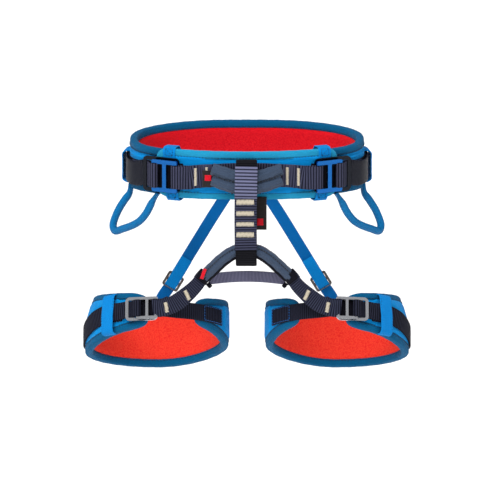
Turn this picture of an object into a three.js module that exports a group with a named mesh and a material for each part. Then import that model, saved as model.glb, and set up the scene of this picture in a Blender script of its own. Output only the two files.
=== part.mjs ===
// Climbing harness: padded waist belt, front tie-in with belay loop, and two leg loops.
// Millimetres, +Z up, the wearer faces -Y. The origin is the middle of the waist opening.
import * as THREE from "three";
import { mergeVertices } from "three/addons/utils/BufferGeometryUtils.js";

// ---------- driving dimensions ----------
const FIT_GAP = 0.35;
const BELT_HALF_WIDTH = 146.5;
const BELT_HALF_DEPTH = 84;
const BELT_SQUARENESS = 2.4;
const BELT_TOP_FRONT = 24;
const BELT_TOP_BACK = 30.5;
const BELT_BOTTOM_FRONT = -29;
const BELT_BOTTOM_BACK = -47;
const BELT_PAD_FRONT_END = 82;
const FRONT_PAD_HALF_LENGTH = 112;
const FRONT_PAD_TOP = 27.5;
const FRONT_PAD_BOTTOM = -30;
const BINDING_HEIGHT = 3.6;
const WAIST_WEBBING = 33;
const LEG_WEBBING = 25;
const RISER_WEBBING = 15.5;
const WEBBING_THICKNESS = 2.2;

const LEG_CENTRE = [117, -30, -214];
const LEG_TILT = THREE.MathUtils.degToRad(27);
const LEG_HALF_WIDTH = 88;
const LEG_HALF_DEPTH = 79;
const LEG_PAD_OUTER_END = 13;
const LEG_PAD_INNER_END = 56;

const SLEEVE_HALF_LENGTH = 46;
const SLEEVE_HEIGHT = 32;
const SLEEVE_DEPTH = 11;
const ARCH_DIAMETER = 19;
const BELAY_WIDTH = 28;
const BELAY_TOP = 23;
const BELAY_BOTTOM = -116;
const BELAY_FRONT = -125;
const BELAY_BACK = -101;
const BELAY_THICKNESS = 4;

const WAIST_BUCKLE = { at: 106, out: 16.2, z: -3.5, width: 52, height: 46, bar: 5, plate: 2.4 };
const WAIST_SLIDER = { out: 21.4, inboard: 8, width: 36, height: 42, bar: 5.4, plate: 3 };
const LEG_BUCKLE = { at: 17, out: 10.6, z: 0, width: 42, height: 31, bar: 4, plate: 2.4 };
const LEG_SLIDER = { out: 15, inboard: 8, width: 28, height: 29, bar: 3.6, plate: 2.4 };
const ADJUSTER = { width: 21, height: 23, bar: 3, plate: 2, along: 0.78, off: 2.3 };

const LAYERS = { lining: [-4.5, -3.3], foam: [-2.95, 2.65], shell: [3, 4.4], binding: [-4.9, 4.8] };
const FRONT_LAYERS = { lining: [5.3, 6.5], shell: [6.85, 10.9], binding: [4.95, 11.3] };

// ---------- materials ----------
const finish = (color, roughness, metalness = 0) =>
  new THREE.MeshStandardMaterial({ color, roughness, metalness });
const MATERIAL = {
  shell: finish(0x1496d7, 0.85),
  lining: finish(0xe5442f, 0.9),
  foam: finish(0x2b2f33, 0.95),
  binding: finish(0x14597f, 0.8),
  webbing: finish(0x1b1b22, 0.75),
  sleeve: finish(0x465569, 0.6),
  crossStrap: finish(0x555569, 0.8),
  elastic: finish(0x1274b4, 0.75),
  tube: finish(0x1c6cb0, 0.6),
  blackAlloy: finish(0x121316, 0.35, 0.8),
  blueAlloy: finish(0x0c3f86, 0.3, 0.9),
  steel: finish(0xb9bcc0, 0.2, 1),
  darkSteel: finish(0x6e6a64, 0.35, 1),
  label: finish(0x2a2727, 0.8),
};

const harness = new THREE.Group();
const legGroup = {};
for (const side of [-1, 1]) {
  legGroup[side] = new THREE.Group();
  legGroup[side].position.set(side * LEG_CENTRE[0], LEG_CENTRE[1], LEG_CENTRE[2]);
  legGroup[side].rotation.x = -LEG_TILT;
  harness.add(legGroup[side]);
}
const sideName = (side, name) => `${side < 0 ? "left" : "right"}_${name}`;

// ---------- geometry helpers ----------
function closedBody(source) {
  source.deleteAttribute("normal");
  source.deleteAttribute("uv");
  const body = mergeVertices(source, 1e-4);
  const corner = [0, 1, 2].map(() => new THREE.Vector3());
  const { position } = body.attributes;
  const index = body.index.array;
  let volume = 0;
  for (let i = 0; i < index.length; i += 3) {
    corner.forEach((point, k) => point.fromBufferAttribute(position, index[i + k]));
    volume += corner[0].dot(corner[1].clone().cross(corner[2]));
  }
  if (volume < 0) {
    for (let i = 0; i < index.length; i += 3) {
      [index[i], index[i + 1]] = [index[i + 1], index[i]];
    }
  }
  return body;
}

function addPart(name, geometry, material, parent = harness) {
  const mesh = new THREE.Mesh(closedBody(geometry), material);
  mesh.name = name;
  parent.add(mesh);
  return mesh;
}

// A box whose corners and subdivisions are moved to place(u, v, w), with u, v, w from 0 to 1.
function shapedBox(stepsU, place, stepsV = 1) {
  const box = new THREE.BoxGeometry(1, 1, 1, stepsU, stepsV, 1);
  const { position } = box.attributes;
  for (let i = 0; i < position.count; i++) {
    const [u, v, w] = [position.getX(i), position.getY(i), position.getZ(i)].map((c) => c + 0.5);
    position.setXYZ(i, ...place(u, v, w));
  }
  return box;
}

function superellipse(halfWidth, halfDepth, squareness) {
  const COUNT = 96;
  const points = [];
  const bend = (value) => Math.sign(value) * Math.abs(value) ** (2 / squareness);
  for (let i = 0; i < COUNT; i++) {
    const angle = -Math.PI / 2 + (i / COUNT) * 2 * Math.PI;
    points.push(new THREE.Vector3(halfWidth * bend(Math.cos(angle)), halfDepth * bend(Math.sin(angle)), 0));
  }
  const curve = new THREE.CatmullRomCurve3(points, true);
  curve.arcLengthDivisions = 1200;
  return curve;
}

// A point at arc length s from the middle of the ring's front, moved outwards by out.
function onRing(ring, s, out, z) {
  const length = ring.getLength();
  const u = (((s / length) % 1) + 1) % 1;
  const point = ring.getPointAt(u);
  const tangent = ring.getTangentAt(u);
  return [point.x + tangent.y * out, point.y - tangent.x * out, z];
}

const mix = (a, b, t) => a + (b - a) * t;
const smooth = (t) => THREE.MathUtils.smoothstep(t, 0, 1);
const flip = (side, [x, y, z]) => [side * x, y, z];

// A wall that follows a ring from s0 to s1 between low(s) and high(s).
function ringWall(ring, side, s0, s1, low, high, [inner, outer], steps) {
  return shapedBox(steps, (u, v, w) => {
    const s = mix(s0, s1, u);
    return flip(side, onRing(ring, s, mix(inner, outer, w), mix(low(s), high(s), v)));
  });
}

// A frame all round the edge of such a wall, outside it by the fit gap.
function ringBinding(ring, side, s0, s1, low, high, [inner, outer], steps) {
  const outline = [];
  for (let i = 0; i <= steps; i++) {
    const s = mix(s0, s1, i / steps);
    outline.push([s, high(s)]);
  }
  for (let i = steps; i >= 0; i--) {
    const s = mix(s0, s1, i / steps);
    outline.push([s, low(s)]);
  }
  const count = outline.length;
  const rim = new THREE.TorusGeometry(2, 1, 4, count);
  const { position } = rim.attributes;
  const corners = [[FIT_GAP, inner], [BINDING_HEIGHT, inner], [BINDING_HEIGHT, outer], [FIT_GAP, outer]];
  for (let k = 0; k < position.count; k++) {
    const [proud, out] = corners[Math.floor(k / (count + 1)) % 4];
    const i = (k % (count + 1)) % count;
    const before = outline[(i + count - 1) % count];
    const after = outline[(i + 1) % count];
    const run = Math.hypot(after[0] - before[0], after[1] - before[1]);
    const s = outline[i][0] - (proud * (after[1] - before[1])) / run;
    const z = outline[i][1] + (proud * (after[0] - before[0])) / run;
    position.setXYZ(k, ...flip(side, onRing(ring, s, out, z)));
  }
  return rim;
}

// A flat strap along a smooth line of points; across(u) gives the direction of its width.
function strap(points, across, width, thickness, steps) {
  const curve = new THREE.CatmullRomCurve3(points.map((p) => new THREE.Vector3(...p)), false, "centripetal");
  return shapedBox(steps, (u, v, w) => {
    const point = curve.getPointAt(u);
    const tangent = curve.getTangentAt(u);
    const sideways = across(u, tangent).clone();
    sideways.addScaledVector(tangent, -sideways.dot(tangent)).normalize();
    const outward = tangent.clone().cross(sideways);
    const breadth = typeof width === "function" ? width(u) : width;
    point.addScaledVector(sideways, (v - 0.5) * breadth).addScaledVector(outward, (w - 0.5) * thickness);
    return point.toArray();
  });
}

const facingFront = (u, tangent) => tangent.clone().cross(new THREE.Vector3(0, -1, 0));
const upright = () => new THREE.Vector3(0, 0, 1);

function roundedRect(path, width, height, radius) {
  const [x, y] = [width / 2, height / 2];
  path.moveTo(-x + radius, -y);
  path.lineTo(x - radius, -y);
  path.absarc(x - radius, -y + radius, radius, -Math.PI / 2, 0, false);
  path.lineTo(x, y - radius);
  path.absarc(x - radius, y - radius, radius, 0, Math.PI / 2, false);
  path.lineTo(-x + radius, y);
  path.absarc(-x + radius, y - radius, radius, Math.PI / 2, Math.PI, false);
  path.lineTo(-x, -y + radius);
  path.absarc(-x + radius, -y + radius, radius, Math.PI, 1.5 * Math.PI, false);
  return path;
}

// A flat plate with one slot, or two slots either side of a middle bar, centred on its own origin.
function bucklePlate({ width, height, bar, plate }, slots, radius) {
  const shape = roundedRect(new THREE.Shape(), width, height, radius);
  const slotWidth = (width - bar * (slots + 1)) / slots;
  for (let i = 0; i < slots; i++) {
    const hole = roundedRect(new THREE.Path(), slotWidth, height - 2 * bar, 1.2);
    const centre = (i - (slots - 1) / 2) * (slotWidth + bar);
    shape.holes.push(new THREE.Path(hole.getPoints(2).map((p) => new THREE.Vector2(p.x + centre, p.y))));
  }
  const body = new THREE.ExtrudeGeometry(shape, { depth: plate, bevelEnabled: false, curveSegments: 3 });
  return body.translate(0, 0, -plate / 2).rotateX(Math.PI / 2);
}

// Stands a plate that faces -Y on a ring at arc length s.
function standOnRing(mesh, ring, side, s, out, z, inboard = 0) {
  const [x, y] = onRing(ring, s, out, z);
  const tangent = ring.getTangentAt(s / ring.getLength());
  mesh.position.set(side * (x - tangent.x * inboard), y - tangent.y * inboard, z);
  mesh.rotation.z = side * Math.atan2(tangent.y, tangent.x);
}

// ---------- waist belt ----------
const belt = superellipse(BELT_HALF_WIDTH, BELT_HALF_DEPTH, BELT_SQUARENESS);
const beltLength = belt.getLength();
const padStart = BELT_PAD_FRONT_END;
const padEnd = beltLength - BELT_PAD_FRONT_END;
const roundEnd = (s, from, to, radius) => {
  const inside = Math.min(s - from, to - s, radius);
  return 0.62 + 0.38 * Math.sqrt(Math.max(0, 1 - (1 - inside / radius) ** 2));
};
const backness = (s) => smooth((Math.min(s, beltLength - s) - 120) / (beltLength / 2 - 160));
const beltHigh = (s) => mix(BELT_TOP_FRONT, BELT_TOP_BACK, backness(s)) * roundEnd(s, padStart, padEnd, 14);
const beltLow = (s) => mix(BELT_BOTTOM_FRONT, BELT_BOTTOM_BACK, backness(s)) * roundEnd(s, padStart, padEnd, 14);
const BELT_STEPS = 52;
for (const [name, layer, material] of [
  ["waist_pad_lining", LAYERS.lining, MATERIAL.lining],
  ["waist_pad_foam", LAYERS.foam, MATERIAL.foam],
  ["waist_pad_shell", LAYERS.shell, MATERIAL.shell],
]) {
  addPart(name, ringWall(belt, 1, padStart, padEnd, beltLow, beltHigh, layer, BELT_STEPS), material);
}
addPart(
  "waist_pad_binding",
  ringBinding(belt, 1, padStart, padEnd, beltLow, beltHigh, LAYERS.binding, BELT_STEPS),
  MATERIAL.binding,
);

// The front pad lies over the ends of the main pad.
const frontEnd = (s) => roundEnd(s, -FRONT_PAD_HALF_LENGTH, FRONT_PAD_HALF_LENGTH, 12);
const frontHigh = (s) => FRONT_PAD_TOP * frontEnd(s);
const frontLow = (s) => FRONT_PAD_BOTTOM * frontEnd(s);
const FRONT_STEPS = 26;
const frontPad = [belt, 1, -FRONT_PAD_HALF_LENGTH, FRONT_PAD_HALF_LENGTH, frontLow, frontHigh];
addPart("front_pad_lining", ringWall(...frontPad, FRONT_LAYERS.lining, FRONT_STEPS), MATERIAL.lining);
addPart("front_pad_shell", ringWall(...frontPad, FRONT_LAYERS.shell, FRONT_STEPS), MATERIAL.shell);
addPart("front_pad_binding", ringBinding(...frontPad, FRONT_LAYERS.binding, FRONT_STEPS), MATERIAL.binding);

// Webbing that goes round the back of the main pad, from buckle to buckle.
const webbingCentre = (s) => 0.5 - 9 * smooth(Math.min(Math.abs(s), beltLength - Math.abs(s)) / 170);
const webbingWall = (side, s0, s1, layer, steps, height = WAIST_WEBBING) =>
  ringWall(belt, side, s0, s1, (s) => webbingCentre(s) - height / 2, (s) => webbingCentre(s) + height / 2, layer, steps);
const BACK_WEBBING_START = 142;
addPart(
  "waist_webbing_back",
  webbingWall(1, BACK_WEBBING_START, beltLength - BACK_WEBBING_START, [5.3, 7.3], 40),
  MATERIAL.webbing,
);

// A point beside a buckle: x along the buckle's own width, outwards from the pad by out.
function besideBuckle(ring, at, x, out, z) {
  const [px, py] = onRing(ring, at, out, 0);
  const tangent = ring.getTangentAt(at / ring.getLength());
  return [px + tangent.x * x, py + tangent.y * x, z];
}

// Front webbing: one strap that turns back round each slider's inner bar.
const turnAt = WAIST_SLIDER.bar / 2 - WAIST_SLIDER.width / 2 - WAIST_SLIDER.inboard;
const FOLD_RADIUS = 4.1;
const FOLD = [
  [-16, -5.5 - FOLD_RADIUS],
  [-9, -2.2 - FOLD_RADIUS],
  [-1.5, 0.1 - FOLD_RADIUS],
  [FOLD_RADIUS - 1, 0.8 - FOLD_RADIUS],
  [FOLD_RADIUS + 0.6, 0],
  [FOLD_RADIUS - 1, FOLD_RADIUS - 0.8],
  [-1.5, FOLD_RADIUS - 0.1],
  [-9, FOLD_RADIUS - 2.4],
  [-19, FOLD_RADIUS - 9],
];
const frontHalf = [0, 18, 36, 54].map((s) => onRing(belt, s, 12.9 + 3.2 * smooth((s - 18) / 36), webbingCentre(s)));
const foldHalf = FOLD.map(([x, out]) =>
  besideBuckle(belt, WAIST_BUCKLE.at, turnAt + x, WAIST_SLIDER.out + out, WAIST_BUCKLE.z),
);
const frontRoute = [...frontHalf, ...foldHalf];
const frontMirror = frontRoute.slice(1).reverse().map((p) => flip(-1, p));
addPart(
  "waist_webbing_front",
  strap([...frontMirror, ...frontRoute], upright, WAIST_WEBBING - 3, WEBBING_THICKNESS - 0.4, 96),
  MATERIAL.webbing,
);

const TAIL_START = 137;
const TAIL_END = 232;
for (const side of [-1, 1]) {
  addPart(
    sideName(side, "webbing_tail"),
    webbingWall(side, TAIL_START, TAIL_END, [8, 10], 12, WAIST_WEBBING - 1),
    MATERIAL.webbing,
  );
}

// A loop of flat webbing round a rectangular stack on a ring.
function ringLoop(ring, side, middle, length, zLow, zHigh, inner, outer, thickness) {
  const stack = [
    [inner, zLow],
    [outer, zLow],
    [outer, zHigh],
    [inner, zHigh],
  ];
  const loop = new THREE.TorusGeometry(2, 1, 4, 4);
  const { position } = loop.attributes;
  const corners = [[0, -1], [1, -1], [1, 1], [0, 1]];
  for (let k = 0; k < position.count; k++) {
    const [proud, along] = corners[Math.floor(k / 5) % 4];
    const i = (k % 5) % 4;
    const [out, z] = stack[i];
    const outward = i === 1 || i === 2 ? 1 : -1;
    const upward = i >= 2 ? 1 : -1;
    const place = [middle + (along * length) / 2, out + outward * proud * thickness, z + upward * proud * thickness];
    position.setXYZ(k, ...flip(side, onRing(ring, ...place)));
  }
  return loop;
}

for (const side of [-1, 1]) {
  addPart(
    sideName(side, "pad_keeper"),
    ringLoop(belt, side, 100, 15, FRONT_PAD_BOTTOM - 4.2, FRONT_PAD_TOP + 4.2, -7, 11.9, 1.4),
    MATERIAL.elastic,
  );
  addPart(
    sideName(side, "webbing_keeper"),
    ringWall(belt, side, 192, 218, () => -29, () => 13, [10.6, 12], 4),
    MATERIAL.elastic,
  );
}

for (const side of [-1, 1]) {
  const frame = addPart(
    sideName(side, "waist_buckle_frame"),
    bucklePlate(WAIST_BUCKLE, 1, 6),
    MATERIAL.blackAlloy,
  );
  standOnRing(frame, belt, side, WAIST_BUCKLE.at, WAIST_BUCKLE.out - 1.4, WAIST_BUCKLE.z);
  const slider = addPart(
    sideName(side, "waist_buckle_slider"),
    bucklePlate(WAIST_SLIDER, 2, 2.5),
    MATERIAL.blueAlloy,
  );
  standOnRing(slider, belt, side, WAIST_BUCKLE.at, WAIST_SLIDER.out, WAIST_BUCKLE.z, WAIST_SLIDER.inboard);
}

// ---------- tie-in points and belay loop ----------
const sleeveRoute = [];
for (let i = -3; i <= 3; i++) {
  const x = (i / 3) * SLEEVE_HALF_LENGTH;
  const bow = Math.cos((i / 3) * (Math.PI / 2));
  sleeveRoute.push([x, -106 - 7 * bow, 2 - 7 * bow]);
}
const sleeveHeight = (u) => SLEEVE_HEIGHT * (0.84 + 0.16 * Math.sin(u * Math.PI));
addPart("waist_tie_in_sleeve", strap(sleeveRoute, upright, sleeveHeight, SLEEVE_DEPTH, 20), MATERIAL.sleeve);

function belayLoopBody() {
  const height = BELAY_TOP - BELAY_BOTTOM;
  const depth = BELAY_BACK - BELAY_FRONT;
  const shape = roundedRect(new THREE.Shape(), depth, height, 10);
  const inside = roundedRect(new THREE.Path(), depth - 2 * BELAY_THICKNESS, height - 2 * BELAY_THICKNESS, 6);
  shape.holes.push(inside);
  const body = new THREE.ExtrudeGeometry(shape, { depth: BELAY_WIDTH, bevelEnabled: false, curveSegments: 5 });
  return body.translate(0, 0, -BELAY_WIDTH / 2).rotateX(Math.PI / 2).rotateZ(Math.PI / 2);
}
const belayLoop = addPart("belay_loop", belayLoopBody(), MATERIAL.webbing);
belayLoop.position.set(-1, (BELAY_FRONT + BELAY_BACK) / 2, (BELAY_TOP + BELAY_BOTTOM) / 2);

const ARCH_END = [52, -109, -121];
const archPoints = [
  [-ARCH_END[0], ARCH_END[1], ARCH_END[2]],
  [-34, -112, -104],
  [-15, -113, -95.5],
  [0, -113, -94],
  [15, -113, -95.5],
  [34, -112, -104],
  ARCH_END,
];
const archCurve = new THREE.CatmullRomCurve3(archPoints.map((p) => new THREE.Vector3(...p)));
const archSection = new THREE.Shape();
archSection.absellipse(0, 0, ARCH_DIAMETER / 2 - 2.2, ARCH_DIAMETER / 2, 0, 2 * Math.PI);
addPart(
  "lower_tie_in_sleeve",
  new THREE.ExtrudeGeometry(archSection, { steps: 20, curveSegments: 5, extrudePath: archCurve }),
  MATERIAL.sleeve,
);
const crossRoute = [[-46, -92, -140], [-24, -92, -136], [0, -92, -135], [24, -92, -136], [46, -92, -140]];
addPart("cross_strap", strap(crossRoute, facingFront, 16, 2.4, 14), MATERIAL.crossStrap);

// Labels: one flat on the front webbing, one hanging beside the belay loop.
addPart("waist_label", ringWall(belt, -1, 50, 58, () => -14, () => 9, [17.9, 18.7], 1), MATERIAL.label);
const hangingLabel = addPart("hanging_label", new THREE.BoxGeometry(12, 1.4, 42), MATERIAL.label);
hangingLabel.position.set(21.5, -99.6, -50);

// ---------- gear loops ----------
const GEAR_ROUTE = [
  [152, -13, -42],
  [159, -15, -52],
  [167.5, -17, -66],
  [173.5, -21, -83],
  [171, -29, -89],
  [160.5, -42, -83.5],
  [146.5, -56, -75],
  [138, -63, -68],
  [129.5, -68, -56.5],
  [121, -68, -40],
];
const GEAR_TUBE_RADIUS = 4.6;
for (const side of [-1, 1]) {
  const route = new THREE.CatmullRomCurve3(
    GEAR_ROUTE.map((p) => new THREE.Vector3(...flip(side, p))),
    false,
    "centripetal",
  );
  const section = new THREE.Shape().absarc(0, 0, GEAR_TUBE_RADIUS, 0, 2 * Math.PI, false);
  const tube = new THREE.ExtrudeGeometry(section, { steps: 24, curveSegments: 4, extrudePath: route });
  addPart(sideName(side, "gear_loop"), tube, MATERIAL.tube);
}

// ---------- leg loops ----------
const legRing = superellipse(LEG_HALF_WIDTH, LEG_HALF_DEPTH, 2);
const legLength = legRing.getLength();
const legStart = LEG_PAD_OUTER_END;
const legEnd = legLength - LEG_PAD_INNER_END;
const LEG_QUARTER = legLength / 4;
// Edge heights at the outer tip, outer side, back, inner side and inner tip.
const LEG_HIGH = [20, 32, 35, 26, 18];
const LEG_LOW = [-20, -36, -35, -26, -14];
const LEG_STATIONS = [legStart, LEG_QUARTER, 2 * LEG_QUARTER, 3 * LEG_QUARTER, legEnd];
function legEdge(heights, s) {
  let i = 0;
  while (i < 3 && s > LEG_STATIONS[i + 1]) i += 1;
  const t = (s - LEG_STATIONS[i]) / (LEG_STATIONS[i + 1] - LEG_STATIONS[i]);
  return mix(heights[i], heights[i + 1], smooth(t)) * roundEnd(s, legStart, legEnd, 22);
}
const legHigh = (s) => legEdge(LEG_HIGH, s);
const legLow = (s) => legEdge(LEG_LOW, s);
const LEG_STEPS = 34;

// Height of the leg webbing on the pad: level at the buckle, lower round the outer side.
const legWebbingCentre = (s) => -1 - 16 * smooth((s - 62) / 75);

const ringToHarness = (side, [x, y, z]) => {
  const point = new THREE.Vector3(side * x, y, z).applyAxisAngle(new THREE.Vector3(1, 0, 0), -LEG_TILT);
  return point.add(new THREE.Vector3(side * LEG_CENTRE[0], LEG_CENTRE[1], LEG_CENTRE[2])).toArray();
};

for (const side of [-1, 1]) {
  const group = legGroup[side];
  const pad = [legRing, side, legStart, legEnd, legLow, legHigh];
  for (const [name, layer, material] of [
    ["leg_pad_lining", LAYERS.lining, MATERIAL.lining],
    ["leg_pad_foam", LAYERS.foam, MATERIAL.foam],
    ["leg_pad_shell", LAYERS.shell, MATERIAL.shell],
  ]) {
    addPart(sideName(side, name), ringWall(...pad, layer, LEG_STEPS), material, group);
  }
  addPart(
    sideName(side, "leg_pad_binding"),
    ringBinding(...pad, LAYERS.binding, LEG_STEPS),
    MATERIAL.binding,
    group,
  );
  const flat = (centre, height) => [(s) => centre(s) - height / 2, (s) => centre(s) + height / 2];
  const webbing = flat(legWebbingCentre, LEG_WEBBING);
  addPart(
    sideName(side, "leg_webbing"),
    ringWall(legRing, side, 43, 190, ...webbing, [5.3, 7.3], 18),
    MATERIAL.webbing,
    group,
  );
  addPart(
    sideName(side, "leg_keeper"),
    ringWall(legRing, side, 52, 69, () => -29, () => 25, [7.9, 9.2], 4),
    MATERIAL.elastic,
    group,
  );
  addPart(
    sideName(side, "leg_inner_strap"),
    ringWall(legRing, side, -94, -3.5, ...flat(() => 0, LEG_WEBBING - 3), [5.4, 7.4], 12),
    MATERIAL.webbing,
    group,
  );
  const frame = addPart(
    sideName(side, "leg_buckle_frame"),
    bucklePlate(LEG_BUCKLE, 1, 6),
    MATERIAL.steel,
    group,
  );
  standOnRing(frame, legRing, side, LEG_BUCKLE.at, LEG_BUCKLE.out, LEG_BUCKLE.z);
  const slider = addPart(
    sideName(side, "leg_buckle_slider"),
    bucklePlate(LEG_SLIDER, 2, 2.5),
    MATERIAL.steel,
    group,
  );
  standOnRing(slider, legRing, side, LEG_BUCKLE.at, LEG_SLIDER.out, LEG_BUCKLE.z, LEG_SLIDER.inboard);

  // Bridge strap from the end of the tie-in arch to the leg buckle.
  const bridge = [
    [56, -111.5, -126],
    [63, -117, -138],
    [77, -120.5, -152],
    [92, -121, -163.5],
    [106, -120, -170],
    [112.5, -119.2, -172],
  ].map((p) => flip(side, p));
  const bridgeAcross = (u, tangent) => facingFront(u, tangent);
  addPart(
    sideName(side, "bridge_strap"),
    strap(bridge, bridgeAcross, (u) => mix(17, 22, smooth(u)), 3, 14),
    MATERIAL.webbing,
  );

  // Elastic riser from the back of the belt to the back of the leg loop.
  const top = [14.5, 96, -47];
  const bottom = [120.5, 64.6, -217];
  const riserPoint = (t) => flip(side, top.map((value, k) => mix(value, bottom[k], t)));
  const RISER_SPLIT = 0.6;
  addPart(
    sideName(side, "riser_upper"),
    strap(
      [flip(side, [9, 92, -27]), riserPoint(0), riserPoint(0.3), riserPoint(RISER_SPLIT)],
      facingFront,
      RISER_WEBBING,
      1.6,
      10,
    ),
    MATERIAL.elastic,
  );
  const padBack = [
    [-3.5, 85.6, 33],
    [-3, 85.9, 14],
  ].map((p) => ringToHarness(side, p));
  addPart(
    sideName(side, "riser_lower"),
    strap(
      [riserPoint(RISER_SPLIT + 0.012), riserPoint(0.8), riserPoint(0.93), ...padBack],
      facingFront,
      RISER_WEBBING,
      1.6,
      12,
    ),
    MATERIAL.elastic,
  );
  const patch = addPart(sideName(side, "riser_anchor"), new THREE.BoxGeometry(21, 1.6, 17), MATERIAL.webbing);
  patch.position.set(side * 12.2, 98.4, -33.5);

  const adjuster = addPart(
    sideName(side, "riser_adjuster"),
    bucklePlate(ADJUSTER, 2, 3).rotateY(Math.PI / 2),
    MATERIAL.darkSteel,
  );
  const along = new THREE.Vector3(...riserPoint(1)).sub(new THREE.Vector3(...riserPoint(0))).normalize();
  const wide = facingFront(0, along).normalize();
  const forward = along.clone().cross(wide);
  forward.multiplyScalar(forward.y < 0 ? 1 : -1);
  const place = new THREE.Vector3(...riserPoint(ADJUSTER.along)).addScaledVector(forward, ADJUSTER.off);
  const basis = new THREE.Matrix4().makeBasis(wide, along.clone().cross(wide), along);
  adjuster.position.copy(place);
  adjuster.quaternion.setFromRotationMatrix(basis);
}

export default harness;
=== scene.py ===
"""Climbing harness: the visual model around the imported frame. Lengths are millimetres until a mesh is made."""

import math

import bpy
import bmesh
import numpy as np
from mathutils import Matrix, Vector


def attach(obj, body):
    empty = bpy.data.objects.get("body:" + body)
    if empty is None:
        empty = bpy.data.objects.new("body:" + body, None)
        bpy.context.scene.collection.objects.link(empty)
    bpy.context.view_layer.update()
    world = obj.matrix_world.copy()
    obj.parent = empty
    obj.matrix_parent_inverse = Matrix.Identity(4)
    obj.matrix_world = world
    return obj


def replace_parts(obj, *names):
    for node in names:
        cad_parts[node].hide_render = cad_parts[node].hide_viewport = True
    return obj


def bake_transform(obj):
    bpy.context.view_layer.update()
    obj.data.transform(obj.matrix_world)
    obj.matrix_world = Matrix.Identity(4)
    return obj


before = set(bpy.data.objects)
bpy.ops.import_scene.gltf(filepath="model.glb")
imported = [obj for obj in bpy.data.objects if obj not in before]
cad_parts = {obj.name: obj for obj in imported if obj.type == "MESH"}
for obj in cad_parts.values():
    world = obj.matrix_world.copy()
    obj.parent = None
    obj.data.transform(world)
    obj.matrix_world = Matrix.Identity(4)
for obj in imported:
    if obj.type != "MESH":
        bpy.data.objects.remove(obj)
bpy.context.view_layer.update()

MM = 0.001
SIDES = {"left": -1, "right": 1}

# ---------- the frame's driving dimensions ----------
BELT_HALF = (146.5, 84.0)
BELT_SQUARENESS = 2.4
LEG_HALF = (88.0, 79.0)
LEG_CENTRE = np.array([117.0, -30.0, -214.0])
LEG_TILT = math.radians(27)
PAD_FRONT_END = 82.0
FRONT_PAD_HALF_LENGTH = 112.0
FRONT_PAD_TOP = 27.5
FRONT_PAD_BOTTOM = -30.0
WAIST_WEBBING = 33.0
LEG_WEBBING = 25.0
RISER_WEBBING = 15.5
RISER_TOP = np.array([14.5, 96.0, -47.0])
RISER_BOTTOM = np.array([120.5, 64.6, -217.0])


# ---------- curves ----------
def smooth(t):
    t = np.clip(t, 0, 1)
    return t * t * (3 - 2 * t)


def mix(a, b, t):
    return a + (b - a) * t


def unit(v):
    v = np.asarray(v, float)
    return v / np.maximum(np.linalg.norm(v, axis=-1, keepdims=True), 1e-9)


class Ring:
    """A closed superellipse, walked by arc length from the middle of its front."""

    def __init__(self, half, squareness):
        angle = np.linspace(-math.pi / 2, 1.5 * math.pi, 6001)
        bend = lambda v: np.sign(v) * np.abs(v) ** (2 / squareness)
        self.points = np.stack([half[0] * bend(np.cos(angle)), half[1] * bend(np.sin(angle))], 1)
        step = np.linalg.norm(np.diff(self.points, axis=0), axis=1)
        self.arc = np.concatenate([[0], np.cumsum(step)])
        self.length = self.arc[-1]
        self.tangents = unit(np.gradient(self.points, self.arc, axis=0))

    def tangent(self, s):
        s = np.mod(s, self.length)
        parts = [np.interp(s, self.arc, self.tangents[:, k]) for k in (0, 1)]
        return unit(np.stack([*parts, np.zeros_like(parts[0])], -1))

    def outward(self, s):
        t = self.tangent(s)
        return np.stack([t[..., 1], -t[..., 0], np.zeros_like(t[..., 0])], -1)

    def at(self, s, out=0.0, z=0.0):
        s = np.asarray(s, float)
        wrapped = np.mod(s, self.length)
        x, y = (np.interp(wrapped, self.arc, self.points[:, k]) for k in (0, 1))
        base = np.stack([x, y, np.zeros_like(x)], -1)
        lift = np.stack([np.zeros_like(x), np.zeros_like(x), np.zeros_like(x) + z], -1)
        return base + self.outward(s) * np.asarray(out)[..., None] + lift


class LegRing(Ring):
    """A ring whose outer side leans in towards its top."""

    def at(self, s, out=0.0, z=0.0):
        around = smooth((np.asarray(s) - 30) / 60) * (1 - smooth((np.asarray(s) - 165) / 70))
        return super().at(s, np.asarray(out) - 0.26 * around * np.maximum(np.asarray(z) + 6, 0), z)


BELT = Ring(BELT_HALF, BELT_SQUARENESS)
LEG = LegRing(LEG_HALF, 2.0)


def belt_place(side):
    return lambda p: np.asarray(p) * [side, 1, 1]


def leg_place(side):
    c, s = math.cos(LEG_TILT), math.sin(LEG_TILT)

    def place(p):
        x, y, z = np.moveaxis(np.asarray(p, float), -1, 0)
        moved = np.stack([x, y * c + z * s, z * c - y * s], -1) + LEG_CENTRE
        return moved * [side, 1, 1]

    return place


def spline(points, spacing):
    """Points about spacing apart along a centripetal Catmull-Rom line through the given ones."""
    p = np.asarray(points, float)
    p = np.vstack([2 * p[0] - p[1], p, 2 * p[-1] - p[-2]])
    dense = []
    for a, b, c, d in zip(p, p[1:], p[2:], p[3:]):
        t0 = 0.0
        t1 = t0 + np.linalg.norm(b - a) ** 0.5
        t2 = t1 + np.linalg.norm(c - b) ** 0.5
        t3 = t2 + np.linalg.norm(d - c) ** 0.5
        t = np.linspace(t1, t2, 60, endpoint=False)[:, None]
        ab = (t1 - t) / (t1 - t0) * a + (t - t0) / (t1 - t0) * b
        bc = (t2 - t) / (t2 - t1) * b + (t - t1) / (t2 - t1) * c
        cd = (t3 - t) / (t3 - t2) * c + (t - t2) / (t3 - t2) * d
        abc = (t2 - t) / (t2 - t0) * ab + (t - t0) / (t2 - t0) * bc
        bcd = (t3 - t) / (t3 - t1) * bc + (t - t1) / (t3 - t1) * cd
        dense.append((t2 - t) / (t2 - t1) * abc + (t - t1) / (t2 - t1) * bcd)
    return resample(np.vstack([*dense, p[-2:-1]]), spacing)


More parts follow.
